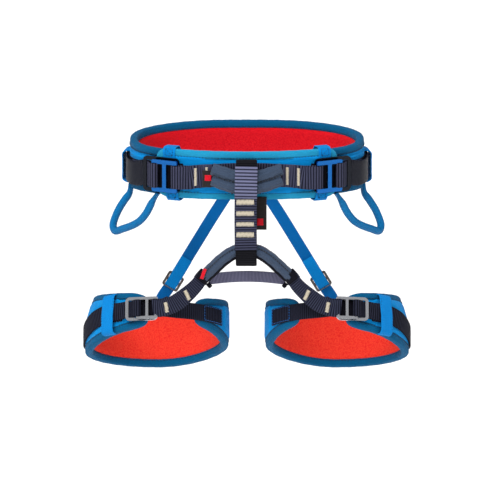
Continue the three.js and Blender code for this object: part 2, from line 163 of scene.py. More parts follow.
def resample(points, spacing):
    run = np.concatenate([[0], np.cumsum(np.linalg.norm(np.diff(points, axis=0), axis=1))])
    count = max(2, int(round(run[-1] / spacing)) + 1)
    at = np.linspace(0, run[-1], count)
    return np.stack([np.interp(at, run, points[:, k]) for k in range(points.shape[1])], -1)


def run_length(points):
    return np.concatenate([[0], np.cumsum(np.linalg.norm(np.diff(points, axis=0), axis=1))])


# ---------- mesh making ----------
def finish_piece(obj, material, body, replaces=()):
    obj.data.materials.append(material)
    if replaces:
        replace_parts(obj, *replaces)
    if body:
        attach(obj, body)
    return obj


def make_object(name, verts, faces, uvs=None, sharp=None):
    mesh = bpy.data.meshes.new(name)
    mesh.from_pydata([tuple(v) for v in np.asarray(verts) * MM], [], faces)
    if uvs is not None:
        layer = mesh.uv_layers.new(name="length_and_width")
        layer.data.foreach_set("uv", np.asarray(uvs, np.float32).ravel())
    bm = bmesh.new()
    bm.from_mesh(mesh)
    bmesh.ops.recalc_face_normals(bm, faces=bm.faces)
    bm.to_mesh(mesh)
    bm.free()
    mesh.polygons.foreach_set("use_smooth", [True] * len(mesh.polygons))
    if sharp:
        mesh.set_sharp_from_angle(angle=math.radians(sharp))
    obj = bpy.data.objects.new(name, mesh)
    bpy.context.scene.collection.objects.link(obj)
    return obj


def grid_object(name, points, along, around, closed=False, sharp=None):
    """A tube of rings of points, closed round each ring; its ends are capped, or it closes on itself."""
    nu, nv = points.shape[:2]
    faces, uvs = [], []
    for i in range(nu if closed else nu - 1):
        n = (i + 1) % nu
        for j in range(nv):
            k = (j + 1) % nv
            faces.append((i * nv + j, n * nv + j, n * nv + k, i * nv + k))
            uvs += [(along[i], around[j]), (along[i + 1], around[j])]
            uvs += [(along[i + 1], around[j + 1]), (along[i], around[j + 1])]
    if not closed:
        for end in (0, nu - 1):
            faces.append(tuple(end * nv + j for j in range(nv)))
            uvs += [(along[end], around[j]) for j in range(nv)]
    return make_object(name, points.reshape(-1, 3), faces, uvs, sharp)


def flat_section(width, thickness, columns=7, corners=3):
    """A webbing section as a loop of (across, outward) points, with round edges."""
    half = (width - thickness) / 2
    xs = np.linspace(half, -half, columns)
    arc = np.linspace(0, math.pi, corners + 2)[1:-1]
    top = [(x, thickness / 2) for x in xs]
    left = [(-half - thickness / 2 * math.sin(a), thickness / 2 * math.cos(a)) for a in arc]
    bottom = [(-x, -thickness / 2) for x in xs]
    right = [(half + thickness / 2 * math.sin(a), -thickness / 2 * math.cos(a)) for a in arc]
    return np.array(top + left + bottom + right)


def round_section(radius_a, radius_b, count=16):
    angle = np.linspace(0, 2 * math.pi, count, endpoint=False)
    return np.stack([radius_a * np.cos(angle), radius_b * np.sin(angle)], 1)


def sweep(name, path, across, section, scale=None, relief=None, closed=False, sharp=None):
    """Sweeps a section along path. across points along the section's first axis at each step."""
    path = np.asarray(path, float)
    if closed:
        tangent = unit(np.roll(path, -1, 0) - np.roll(path, 1, 0))
    else:
        tangent = unit(np.gradient(path, axis=0))
    across = np.broadcast_to(np.asarray(across, float), path.shape)
    across = unit(across - (across * tangent).sum(-1, keepdims=True) * tangent)
    outward = np.cross(tangent, across)
    shape = np.broadcast_to(section, (len(path), *section.shape)).copy()
    if scale is not None:
        shape *= np.asarray(scale)[:, None, :] if np.ndim(scale) == 2 else np.asarray(scale)[:, None, None]
    run = run_length(np.vstack([path, path[:1]]) if closed else path)
    rim = np.concatenate([[0], np.cumsum(np.linalg.norm(np.roll(section, -1, 0) - section, axis=1))])
    if relief is not None:
        shape = relief(shape, run[: len(path), None], rim[None, :-1])
    points = path[:, None] + shape[..., :1] * across[:, None] + shape[..., 1:] * outward[:, None]
    return grid_object(name, points, run, rim, closed, sharp)


def ribs(pitch, depth):
    """Rounded ridges across a strap, a pitch apart along it."""

    def relief(shape, run, rim):
        ridge = np.sqrt(np.abs(np.sin(math.pi * run / pitch)))
        shape[..., 1] += np.sign(shape[..., 1]) * depth * (ridge - 0.6)
        shape[..., 0] += np.sign(shape[..., 0]) * depth * 0.35 * (ridge - 0.6)
        return shape

    return relief


def facing_front(path):
    tangent = unit(np.gradient(path, axis=0))
    return np.cross(tangent, [0.0, -1.0, 0.0])


UP = np.array([0.0, 0.0, 1.0])


def webbing(name, path, across, width, thickness, pitch=2.6, depth=0.3, columns=7, scale=None):
    path = resample(np.asarray(path, float), min(pitch / 6, 2.5)) if pitch else path
    if callable(across):
        across = across(path)
    section = flat_section(width, thickness, columns)
    if scale is not None:
        taper = scale(np.linspace(0, 1, len(path)))
        scale = np.stack([taper, np.ones_like(taper)], 1)
    return sweep(name, path, across, section, scale, ribs(pitch, depth) if pitch else None)


def threads(name, starts, ends, normals, radius=0.36):
    """Separate thread stitches, one from each start to its end, standing on a surface with those normals."""
    angle = np.linspace(0, 2 * math.pi, 6, endpoint=False)
    verts, faces = [], []
    for a, b, normal in zip(np.asarray(starts, float), np.asarray(ends, float), np.asarray(normals, float)):
        up = unit(normal)
        side = np.cross(unit(b - a), up)
        base = len(verts)
        for t, swell in ((0.0, 0.35), (0.2, 0.9), (0.8, 0.9), (1.0, 0.35)):
            centre = mix(a, b, t) + up * (radius * 0.4 if 0.1 < t < 0.9 else -radius * 0.3)
            for w in angle:
                verts.append(centre + radius * swell * (math.cos(w) * side + math.sin(w) * up))
        for ring in range(3):
            for j in range(6):
                k = (j + 1) % 6
                first = base + ring * 6
                faces.append((first + j, first + k, first + 6 + k, first + 6 + j))
        faces.append(tuple(base + j for j in range(5, -1, -1)))
        faces.append(tuple(base + 18 + j for j in range(6)))
    return make_object(name, verts, faces)


def stitches(name, path, outward, length=2.6, gap=1.4, radius=0.5):
    """A row of separate thread stitches lying along path."""
    path = np.asarray(path, float)
    outward = np.broadcast_to(np.asarray(outward, float), path.shape)
    run = run_length(path)
    count = max(1, int(run[-1] // (length + gap)))
    first = (np.arange(count) + 0.5) * run[-1] / count - length / 2
    at = lambda values, s: np.stack([np.interp(s, run, values[:, k]) for k in range(3)], 1)
    return threads(name, at(path, first), at(path, first + length), at(outward, first + length / 2), radius)


def bartack(name, centre, along, across, normal, length, width, rows=None):
    """A dense zigzag of thread: length along the strap, width across it."""
    along, across, normal = unit(along), unit(across), unit(normal)
    rows = rows or int(width / 0.8)
    rng = np.random.default_rng(len(name) * 97 + int(width * 10))
    starts, ends = [], []
    for k in range(rows):
        offset = (k / (rows - 1) - 0.5) * width
        nudge = rng.uniform(-0.25, 0.25, 2)
        tilt = 0.35 if k % 2 else -0.35
        starts.append(centre + across * (offset - tilt) - along * (length / 2 + nudge[0]))
        ends.append(centre + across * (offset + tilt) + along * (length / 2 + nudge[1]))
    return threads(name, starts, ends, np.broadcast_to(normal, (rows, 3)), 0.5)


def join(name, parts):
    """One object from several, keeping their meshes."""
    bm = bmesh.new()
    for part in parts:
        bm.from_mesh(part.data)
        bpy.data.objects.remove(part)
    mesh = bpy.data.meshes.new(name)
    bm.to_mesh(mesh)
    bm.free()
    obj = bpy.data.objects.new(name, mesh)
    bpy.context.scene.collection.objects.link(obj)
    return obj


# ---------- materials ----------
class Shader:
    """A node material: ready-made patterns along (U) and across (V) a strap, in millimetres."""

    def __init__(self, name, roughness=0.8, metallic=0.0, sheen=0.0, specular=0.12):
        self.material = bpy.data.materials.new(name)
        self.material.use_nodes = True
        self.tree = self.material.node_tree
        self.surface = self.tree.nodes["Principled BSDF"]
        self.surface.inputs["Metallic"].default_value = metallic
        self.surface.inputs["Roughness"].default_value = roughness
        self.surface.inputs["Specular IOR Level"].default_value = specular
        self.surface.inputs["Sheen Weight"].default_value = sheen
        self.surface.inputs["Sheen Roughness"].default_value = 0.45
        self.uv = self.node("ShaderNodeSeparateXYZ", self.node("ShaderNodeUVMap").outputs[0])
        self.place = self.node("ShaderNodeTexCoord").outputs["Object"]

    def node(self, kind, *inputs, **settings):
        made = self.tree.nodes.new(kind)
        for key, value in settings.items():
            setattr(made, key, value)
        for socket, value in zip(made.inputs, inputs):
            self.feed(socket, value)
        return made

    def feed(self, socket, value):
        if isinstance(value, bpy.types.NodeSocket):
            self.tree.links.new(value, socket)
        elif isinstance(value, bpy.types.Node):
            self.tree.links.new(value.outputs[0], socket)
        elif value is not None:
            socket.default_value = value

    def math(self, operation, *inputs):
        return self.node("ShaderNodeMath", *inputs, operation=operation).outputs[0]

    def wave(self, socket, pitch):
        """0 to 1 and back once each pitch."""
        turned = self.math("SINE", self.math("MULTIPLY", socket, 2 * math.pi / pitch))
        return self.math("MULTIPLY_ADD", turned, 0.5, 0.5)

    def ridges(self, socket, pitch):
        """The same rounded ridges as ribs(pitch) makes in the mesh."""
        return self.math("POWER", self.math("ABSOLUTE", self.math("SINE", self.math("MULTIPLY", socket, math.pi / pitch))), 0.5)

    def weave(self, pitch):
        """Over and under of a plain weave."""
        u, v = self.wave(self.uv.outputs[0], pitch), self.wave(self.uv.outputs[1], pitch)
        return self.math("ABSOLUTE", self.math("SUBTRACT", u, v))

    def twill(self, pitch, lean=1.0):
        slant = self.math("MULTIPLY_ADD", self.uv.outputs[1], lean, self.uv.outputs[0])
        return self.wave(slant, pitch)

    def noise(self, scale, detail=3.0):
        made = self.node("ShaderNodeTexNoise", None, None, scale, detail)
        self.feed(made.inputs["Vector"], self.place)
        return made.outputs[0]

    def colours(self, factor, dark, light):
        blend = self.node("ShaderNodeMix", data_type="RGBA")
        self.feed(blend.inputs["Factor"], factor)
        self.feed(blend.inputs[6], (*dark, 1) if isinstance(dark, tuple) else dark)
        self.feed(blend.inputs[7], (*light, 1) if isinstance(light, tuple) else light)
        return blend.outputs[2]

    def finish(self, colour, height=None, bump=0.3, roughness=None):
        self.feed(self.surface.inputs["Base Color"], colour)
        if height is not None:
            made = self.node("ShaderNodeBump", bump, 0.0006)
            self.feed(made.inputs["Height"], height)
            self.feed(self.surface.inputs["Normal"], made.outputs[0])
        if roughness is not None:
            self.feed(self.surface.inputs["Roughness"], roughness)
        return self.material


def srgb(r, g, b):
    return tuple(((c / 255 + 0.055) / 1.055) ** 2.4 if c > 10 else c / 255 / 12.92 for c in (r, g, b))


def varied(shader, pattern, dark, light, worn, scale=35.0, amount=0.35):
    """A woven colour with slow patches of a worn tone."""
    base = shader.colours(pattern, dark, light)
    patches = shader.math("MULTIPLY", shader.noise(scale), amount)
    return shader.colours(patches, base, worn)


def woven_fabric(name, dark, light, worn, pitch=0.9, bump=0.35, sheen=0.25, roughness=0.82):
    shader = Shader(name, roughness, sheen=sheen)
    threads = shader.weave(pitch)
    grain = shader.noise(900.0, 2.0)
    height = shader.math("ADD", threads, shader.math("MULTIPLY", grain, 0.4))
    return shader.finish(varied(shader, threads, dark, light, worn), height, bump)


def webbing_fabric(name, dark, light, worn, pitch, bump=0.45, roughness=0.7):
    shader = Shader(name, roughness, specular=0.08)
    ridge = shader.ridges(shader.uv.outputs[0], pitch)
    threads = shader.wave(shader.uv.outputs[1], 0.85)
    mottled = shader.math("MULTIPLY", shader.math("POWER", ridge, 3.0), shader.math("MULTIPLY_ADD", threads, 0.45, 0.55))
    height = shader.math("ADD", mottled, shader.math("MULTIPLY", shader.noise(1400.0, 2.0), 0.35))
    return shader.finish(varied(shader, mottled, dark, light, worn, 60.0, 0.2), height, bump)


def tube_fabric(name, dark, light, worn):
    shader = Shader(name, 0.5, specular=0.15)
    sideways = shader.math("PINGPONG", shader.uv.outputs[1], 2.4)
    slant = shader.math("MULTIPLY_ADD", sideways, 1.3, shader.uv.outputs[0])
    herringbone = shader.wave(slant, 1.7)
    height = shader.math("ADD", herringbone, shader.math("MULTIPLY", shader.noise(1200.0), 0.3))
    return shader.finish(varied(shader, herringbone, dark, light, worn), height, 0.5)


def mesh_lining(name, dark, light, worn):
    shader = Shader(name, 0.9, sheen=0.06, specular=0.05)
    cells = shader.node("ShaderNodeTexVoronoi")
    shader.feed(cells.inputs["Vector"], shader.place)
    cells.inputs["Scale"].default_value = 620.0
    holes = cells.outputs["Distance"]
    fluff = shader.noise(240.0, 6.0)
    pattern = shader.math("MULTIPLY_ADD", holes, 0.9, shader.math("MULTIPLY", fluff, 0.35))
    return shader.finish(varied(shader, pattern, light, dark, worn, 14.0, 0.5), pattern, 0.3)


def alloy(name, colour, edge, roughness, scratches=0.12):
    shader = Shader(name, roughness, metallic=1.0, specular=0.5)
    # Convex edges, picked out by pointiness, take the lighter edge colour: partly a polished rim, partly a painted
    # highlight along the rims.
    worn = shader.node("ShaderNodeNewGeometry").outputs["Pointiness"]
    rim_polish_and_highlight = shader.node("ShaderNodeMapRange", worn, 0.51, 0.58)
    streaks = shader.noise(220.0, 8.0)
    tone = shader.colours(shader.math("MULTIPLY", rim_polish_and_highlight.outputs[0], 0.8), colour, edge)
    rough = shader.math("MULTIPLY_ADD", streaks, scratches * 2, roughness - scratches)
    return shader.finish(tone, streaks, 0.05, rough)


def thread(name, dark, light):
    shader = Shader(name, 0.65, sheen=0.2)
    strands = shader.noise(1500.0, 4.0)
    return shader.finish(shader.colours(strands, dark, light), strands, 0.4)


CREAM = srgb(214, 204, 184)
MATERIALS = {
    "shell": woven_fabric("shell_weave", srgb(0, 104, 172), srgb(8, 156, 226), srgb(2, 126, 200), sheen=0.04),
    "lining": mesh_lining("lining_mesh", srgb(204, 30, 28), srgb(236, 80, 54), srgb(220, 50, 40)),
    # A darker, deeper red copy of the lining for the waist pad's inner face: painted shade of the inside of the belt.
    "painted_shade_lining": mesh_lining("painted_shade_lining_mesh", srgb(176, 8, 24), srgb(222, 34, 40), srgb(198, 16, 30)),
    "binding": woven_fabric("binding_tape", srgb(0, 56, 92), srgb(8, 106, 152), srgb(2, 74, 114), 0.7, sheen=0.04),
    "binding_light": woven_fabric("light_binding_tape", srgb(10, 104, 150), srgb(48, 170, 208), srgb(28, 138, 180), 0.7, sheen=0.04),
    "webbing": webbing_fabric("waist_webbing_weave", srgb(3, 4, 12), srgb(72, 74, 98), srgb(12, 14, 26), 3.4),
    "black_webbing": webbing_fabric("black_webbing_weave", srgb(2, 2, 5), srgb(28, 28, 38), srgb(8, 8, 14), 2.2),
    "belay": webbing_fabric("belay_weave", srgb(4, 5, 14), srgb(126, 129, 163), srgb(34, 36, 56), 4.4),
    "belay_black": webbing_fabric("belay_black_weave", srgb(2, 2, 4), srgb(28, 28, 34), srgb(8, 8, 11), 2.4),
    "leg_webbing": webbing_fabric("leg_webbing_weave", srgb(2, 2, 6), srgb(44, 46, 62), srgb(10, 11, 19), 3.0),
    "bridge": webbing_fabric("bridge_webbing_weave", srgb(2, 3, 9), srgb(58, 61, 82), srgb(12, 14, 24), 2.8),
    "sleeve": woven_fabric("sleeve_weave", srgb(20, 28, 42), srgb(80, 97, 122), srgb(46, 59, 80), 1.1, 0.25, 0.15, 0.45),
    "cross": webbing_fabric("cross_strap_weave", srgb(48, 47, 66), srgb(128, 127, 154), srgb(84, 83, 106), 1.8),
    "elastic": woven_fabric("elastic_weave", srgb(0, 92, 162), srgb(8, 146, 218), srgb(2, 116, 190), 0.8, sheen=0.04),
    "riser": woven_fabric("riser_weave", srgb(0, 70, 130), srgb(6, 112, 184), srgb(1, 90, 156), 0.8, sheen=0.04),
    "tube": tube_fabric("tube_herringbone", srgb(0, 52, 106), srgb(12, 132, 190), srgb(4, 86, 148)),
    "bartack": thread("bartack_thread", srgb(166, 156, 136), CREAM),
    "blue_thread": thread("blue_thread", srgb(4, 70, 140), srgb(20, 110, 186)),
    "dark_thread": thread("dark_thread", srgb(1, 28, 52), srgb(8, 56, 90)),
    "grey_thread": thread("grey_thread", srgb(8, 10, 16), srgb(40, 46, 60)),
    "black_alloy": alloy("black_anodised", srgb(5, 6, 9), srgb(44, 46, 52), 0.3),
    "tail": webbing_fabric("tail_weave", srgb(5, 5, 9), srgb(36, 38, 52), srgb(12, 12, 20), 2.2, 0.3, 0.45),
    "blue_alloy": alloy("blue_anodised", srgb(1, 22, 78), srgb(40, 112, 190), 0.24),
    "steel": alloy("polished_alloy", srgb(118, 121, 128), srgb(214, 216, 222), 0.28, 0.04),
    "dark_steel": alloy("dark_steel", srgb(70, 68, 66), srgb(140, 138, 134), 0.3),
    "label": woven_fabric("label_weave", srgb(20, 17, 17), srgb(56, 50, 50), srgb(34, 30, 30), 0.5),
    "red_label": woven_fabric("red_label_weave", srgb(176, 8, 26), srgb(226, 30, 48), srgb(200, 16, 36), 0.5),
}


# ---------- pads and their bindings ----------
def round_end(s, start, end, radius):
    inside = np.minimum(np.minimum(s - start, end - s), radius)
    return 0.62 + 0.38 * np.sqrt(np.clip(1 - (1 - inside / radius) ** 2, 0, 1))


class Pad:
    """A padded wall on a ring: its edges, and where it is in the harness."""

    def __init__(self, ring, place, start, end, low, high, layer):
        self.ring, self.place = ring, place
        self.start, self.end = start, end
        self.low, self.high = low, high
        self.inner, self.outer = layer

    def at(self, s, out, z):
        return self.place(self.ring.at(s, out, z))

    def outline(self, spacing=2.0, shrink=0.0):
        """The closed edge line in (s, z), with its outward direction in that plane."""
        count = int((self.end - self.start) / spacing)
        s = np.linspace(self.start, self.end, count)
        line = np.vstack([np.stack([s, self.high(s)], 1), np.stack([s[::-1], self.low(s[::-1])], 1)])
        line = resample(np.vstack([line, line[:1]]), spacing)[:-1]
        for _ in range(3):
            line = (np.roll(line, 1, 0) + 2 * line + np.roll(line, -1, 0)) / 4
        run = unit(np.roll(line, -1, 0) - np.roll(line, 1, 0))
        outward = np.stack([-run[:, 1], run[:, 0]], 1)
        return line - outward * shrink, outward

    def face(self, name, base, crown, channels, spacing, columns, under):
        """A padded sheet whose middle stands crown out from base and whose edges pull in."""
        s = np.linspace(self.start, self.end, int((self.end - self.start) / spacing))
        v = np.linspace(0, 1, columns)
        z = mix(self.low(s)[:, None], self.high(s)[:, None], v[None])
        to_edge = np.minimum(v, 1 - v)[None] * (self.high(s) - self.low(s))[:, None]
        to_end = np.minimum(s - self.start, self.end - s)[:, None]
        edge = np.minimum(to_edge, to_end + 4)
        puff = smooth(edge / 13.0) ** 0.7
        pucker = 0.35 * np.sin(s[:, None] * 0.9) * np.sin(s[:, None] * 0.37 + 2) * np.exp(-((edge - 9) / 5) ** 2)
        slow = 0.4 * np.sin(s[:, None] * 0.075 + z * 0.05) * puff
        seam = sum(np.exp(-((z - line(s)[:, None]) / 1.5) ** 2) for line in channels) if channels else 0
        lift = crown * (0.25 + 0.75 * puff) + np.sign(crown) * (pucker + slow - 1.1 * seam)
        top = self.at(np.broadcast_to(s[:, None], z.shape), base + lift, z)
        back = self.at(np.broadcast_to(s[:, None], z.shape), base + 0 * lift, z)
        points = np.concatenate([top, back[:, ::-1]], 1)
        around = np.concatenate([[0], np.cumsum(np.full(2 * columns, 2.0))])
        obj = grid_object(name, points, s, around)
        fixed = np.ones((len(s), 2 * columns), bool)
        fixed[3:-3, 3 : columns - 3] = False
        fixed[:, :columns] |= np.broadcast_to(np.asarray(seam) > 0.6, z.shape)
        cap = np.full(fixed.shape, 0.02)
        cap[:, :columns] = np.where(under(s[:, None], z), 0.35, 1.9 if crown > 0 else 1.5)
        soften(obj, np.flatnonzero(fixed), cap, CLOTH_PRESSURE)
        return obj


CLOTH_SCALE = 100.0
CLOTH_PRESSURE = 12.0
CLOTH_FRAMES = 14


def soften(obj, held, cap, pressure):
    """Lets cloth with a little spare fabric fill out from its held points, moving each point by at most its cap."""
    mesh = obj.data
    rest = np.empty(len(mesh.vertices) * 3, np.float32)
    mesh.vertices.foreach_get("co", rest)
    mesh.vertices.foreach_set("co", rest * CLOTH_SCALE)
    obj.vertex_groups.new(name="held").add([int(v) for v in held], 1.0, "REPLACE")
    cloth = obj.modifiers.new("Cloth", "CLOTH")
    settings = cloth.settings
    settings.quality = 4
    settings.vertex_group_mass = "held"
    settings.effector_weights.gravity = 0
    settings.use_pressure = True
    settings.uniform_pressure_force = pressure
    settings.shrink_min = -0.05
    settings.bending_stiffness = 0.2
    cloth.point_cache.frame_end = CLOTH_FRAMES
    scene = bpy.context.scene
    for number in range(1, CLOTH_FRAMES + 1):
        scene.frame_set(number)
    shaped = obj.evaluated_get(bpy.context.evaluated_depsgraph_get()).to_mesh()
    moved = np.empty_like(rest)
    shaped.vertices.foreach_get("co", moved)
    obj.modifiers.remove(cloth)
    obj.vertex_groups.clear()
    shift = (moved / CLOTH_SCALE - rest).reshape(-1, 3)
    length = np.linalg.norm(shift, axis=1)
    limit = cap.ravel() * MM
    shift *= (limit * np.tanh(length / np.maximum(limit, 1e-9)) / np.maximum(length, 1e-9))[:, None]
    mesh.vertices.foreach_set("co", (rest.reshape(-1, 3) + shift).ravel())
    scene.frame_set(1)
    mesh.update()


def binding_tape(name, pad, reach, material, spacing=2.0, width_at=None):
    """Edge tape folded over a pad's edge, reaching down both faces, a little wavy."""
    line, outward = pad.outline(spacing)
    outward_3d = []
    rings = []
    half = (pad.outer - pad.inner) / 2 + 0.55
    middle = (pad.outer + pad.inner) / 2
    fold = np.linspace(-math.pi / 2, math.pi / 2, 9)
    nose = [(1.2 + 2.4 * math.cos(a), half * math.sin(a)) for a in fold]
    section = [(-reach, -half + 1.2), (-reach, -half), (-reach * 0.5, -half - 0.15), *nose]
    section += [(-reach * 0.5, half + 0.15), (-reach, half), (-reach, half - 1.2)]
    section = np.array(section)
    phase = np.arange(len(line)) * spacing
    for k, (proud, across) in enumerate(section):
        wobble = 0.25 * np.sin(phase * 0.31 + k) + 0.15 * np.sin(phase * 0.83 + 2 * k)
        reach_here = proud * (1 if proud > 0 or width_at is None else width_at(line[:, 0]))
        s = line[:, 0] + outward[:, 0] * (reach_here + 0.4 * wobble)
        z = line[:, 1] + outward[:, 1] * (reach_here + 0.4 * wobble)
        rings.append(pad.at(s, middle + across + np.sign(across) * 0.25 * wobble, z))
    points = np.stack(rings, 1)
    along = np.concatenate([phase, [phase[-1] + spacing]])
    rim = np.concatenate([[0], np.cumsum(np.linalg.norm(np.roll(section, -1, 0) - section, axis=1))])
    obj = grid_object(name, points, along, rim, closed=True)
    obj.data.materials.append(material)
    return obj


def binding_stitches(name, pad, inset, spacing=2.0):
    """Stitch rows along the inner edge of the tape, on both faces."""
    parts = []
    line, outward = pad.outline(spacing)
    line = np.vstack([line, line[:1]])
    outward = np.vstack([outward, outward[:1]])
    s, z = line[:, 0] - outward[:, 0] * inset, line[:, 1] - outward[:, 1] * inset
    for label, out, sign in (("outer", pad.outer + 0.75, 1), ("inner", pad.inner - 0.75, -1)):
        path = pad.at(s, out, z)
        lift = pad.at(s, out + sign, z) - path
        parts.append(stitches(f"{name}_{label}", path, lift))
    return join(name, parts)


def padded_wall(prefix, pad, body, nodes, under, channels=(), reach=6.0, tape="binding", inside="lining"):
    """Shell, lining, binding and stitching of one pad."""
    middle = (pad.inner + pad.outer) / 2
    shell = pad.face(f"{prefix}_shell_cover", middle + 0.1, pad.outer - middle + 0.3, channels, 2.2, 30, under)
    finish_piece(shell, MATERIALS["shell"], body, nodes["shell"])
    lining = pad.face(f"{prefix}_lining_cover", middle - 0.1, pad.inner - middle - 0.3, (), 2.2, 30, lambda s, z: z > 1e9)
    finish_piece(lining, MATERIALS[inside], body, nodes["lining"])
    tape_piece = binding_tape(f"{prefix}_binding_tape", pad, reach, MATERIALS[tape])
    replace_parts(tape_piece, *nodes["binding"])
    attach(tape_piece, body)
    rows = binding_stitches(f"{prefix}_binding_stitches", pad, reach - 1.6)
    finish_piece(rows, MATERIALS["dark_thread"], body)
    return shell, lining


def backness(s):
    near = np.minimum(s, BELT.length - s)
    return smooth((near - 120) / (BELT.length / 2 - 160))


def main_pad():
    start, end = PAD_FRONT_END, BELT.length - PAD_FRONT_END
    ends = lambda s: round_end(s, start, end, 14)
    high = lambda s: mix(24, 30.5, backness(s)) * ends(s)
    low = lambda s: mix(-29, -47, backness(s)) * ends(s)
    return Pad(BELT, belt_place(1), start, end, low, high, (-4.5, 4.4))


def front_pad():
    half = FRONT_PAD_HALF_LENGTH
    ends = lambda s: round_end(s, -half, half, 12)
    dip = lambda s: 1.6 * np.cos(np.clip(s / half, -1, 1) * math.pi / 2)
    high, low = lambda s: FRONT_PAD_TOP * ends(s) - dip(s), lambda s: FRONT_PAD_BOTTOM * ends(s)
    return Pad(BELT, belt_place(1), -half, half, low, high, (5.3, 10.9))


LEG_START = 13.0
LEG_END = LEG.length - 56.0
LEG_STATIONS = np.array([LEG_START, LEG.length / 4, LEG.length / 2, LEG.length * 3 / 4, LEG_END])


def leg_edge(heights):
    def edge(s):
        s = np.asarray(s, float)
        i = np.clip(np.searchsorted(LEG_STATIONS, s, side="left") - 1, 0, 3)
        t = (s - LEG_STATIONS[i]) / (LEG_STATIONS[i + 1] - LEG_STATIONS[i])
        heights_array = np.array(heights, float)
        wall = mix(heights_array[i], heights_array[i + 1], smooth(t))
        return wall * round_end(s, LEG_START, LEG_END, 22)

    return edge


def leg_pad(side):
    low, high = leg_edge([-20, -36, -35, -26, -14]), leg_edge([20, 32, 35, 26, 18])
    return Pad(LEG, leg_place(side), LEG_START, LEG_END, low, high, (-4.5, 4.4))


def make_pads():
    belt = main_pad()
    nodes = {
        "shell": ["waist_pad_shell", "waist_pad_foam"],
        "lining": ["waist_pad_lining"],
        "binding": ["waist_pad_binding"],
    }
    seams = (lambda s: np.full_like(s, 15.0), lambda s: mix(-26, -34, backness(s)))
    strapped = lambda s, z: np.abs(z - webbing_centre(s)) < WAIST_WEBBING / 2 + 4
    # The waist pad's lining takes the darker copy: painted shade on the belt's inside.
    padded_wall("waist_pad", belt, "root", nodes, strapped, seams, inside="painted_shade_lining")
    nodes = {
        "shell": ["front_pad_shell"],
        "lining": ["front_pad_lining"],
        "binding": ["front_pad_binding"],
    }
    padded_wall("front_pad", front_pad(), "root", nodes, strapped, reach=6.5, tape="binding_light")
    for name, side in SIDES.items():
        nodes = {
            "shell": [f"{name}_leg_pad_shell", f"{name}_leg_pad_foam"],
            "lining": [f"{name}_leg_pad_lining"],
            "binding": [f"{name}_leg_pad_binding"],
        }
        leg_strapped = lambda s, z: (np.abs(z - leg_webbing_centre(s)) < LEG_WEBBING / 2 + 3) & (s < 198) | (s > LEG.length - 102)
        padded_wall(f"{name}_leg_pad", leg_pad(side), f"{name}_leg_loop", nodes, leg_strapped)


# ---------- waist webbing, keepers and buckles ----------
BUCKLE_AT = 106.0
BUCKLE_Z = -3.5
SLIDER_OUT = 21.4
SLIDER_INNER_BAR = -23.3
SLIDER_OUTER_BAR = 7.3
FOLD_RADIUS = 4.1
FOLD = [
    (-16, -5.5 - FOLD_RADIUS),
    (-9, -2.2 - FOLD_RADIUS),
    (-1.5, 0.1 - FOLD_RADIUS),
    (FOLD_RADIUS - 1, 0.8 - FOLD_RADIUS),
    (FOLD_RADIUS + 0.6, 0),
    (FOLD_RADIUS - 1, FOLD_RADIUS - 0.8),
    (-1.5, FOLD_RADIUS - 0.1),
    (-9, FOLD_RADIUS - 2.4),
    (-19, FOLD_RADIUS - 9),
]


UPPER_LEAF = [(9, 24.6), (15.5, 20.0), (21, 12.8), (28, 11.0)]
BACKING = [(-29, 10.4), (-18, 14.4), (-2, 14.6), (6, 12.6), (13, 9.6)]


def webbing_centre(s):
    return 0.5 - 9 * smooth(np.minimum(np.abs(s), BELT.length - np.abs(s)) / 170)


def beside(ring, at, x, out, z):
    """A point x along a buckle's own width, standing out from the ring."""
    return ring.at(at, out, z) + ring.tangent(at) * x


def tucked(values, at, *ends):
    return np.interp(values, at, ends)


def metres(point):
    return tuple(float(v) * MM for v in point)


def keeper_band(name, place, ring, s, length, high, low, proud, base):
    """An upright elastic band over a strap, its ends curling in to the pad."""
    reach = proud - base
    corner = [(high, base), (high - 0.5, base + reach * 0.55), (high - 3.5, proud)]
    corner += [(mix(high, low, 0.33), proud + 0.4), (mix(high, low, 0.67), proud + 0.4)]
    corner += [(low + 3.5, proud), (low + 0.5, base + reach * 0.55), (low, base)]
    route = spline([(z, out, 0) for z, out in corner], 0.7)
    path = place(ring.at(np.full(len(route), s), route[:, 1], route[:, 0]))
    along = place(ring.at(s + 1, 0.0, 0)) - place(ring.at(s - 1, 0.0, 0))
    return webbing(name, path, along, length, 1.5, 1.6, 0.1, 15)


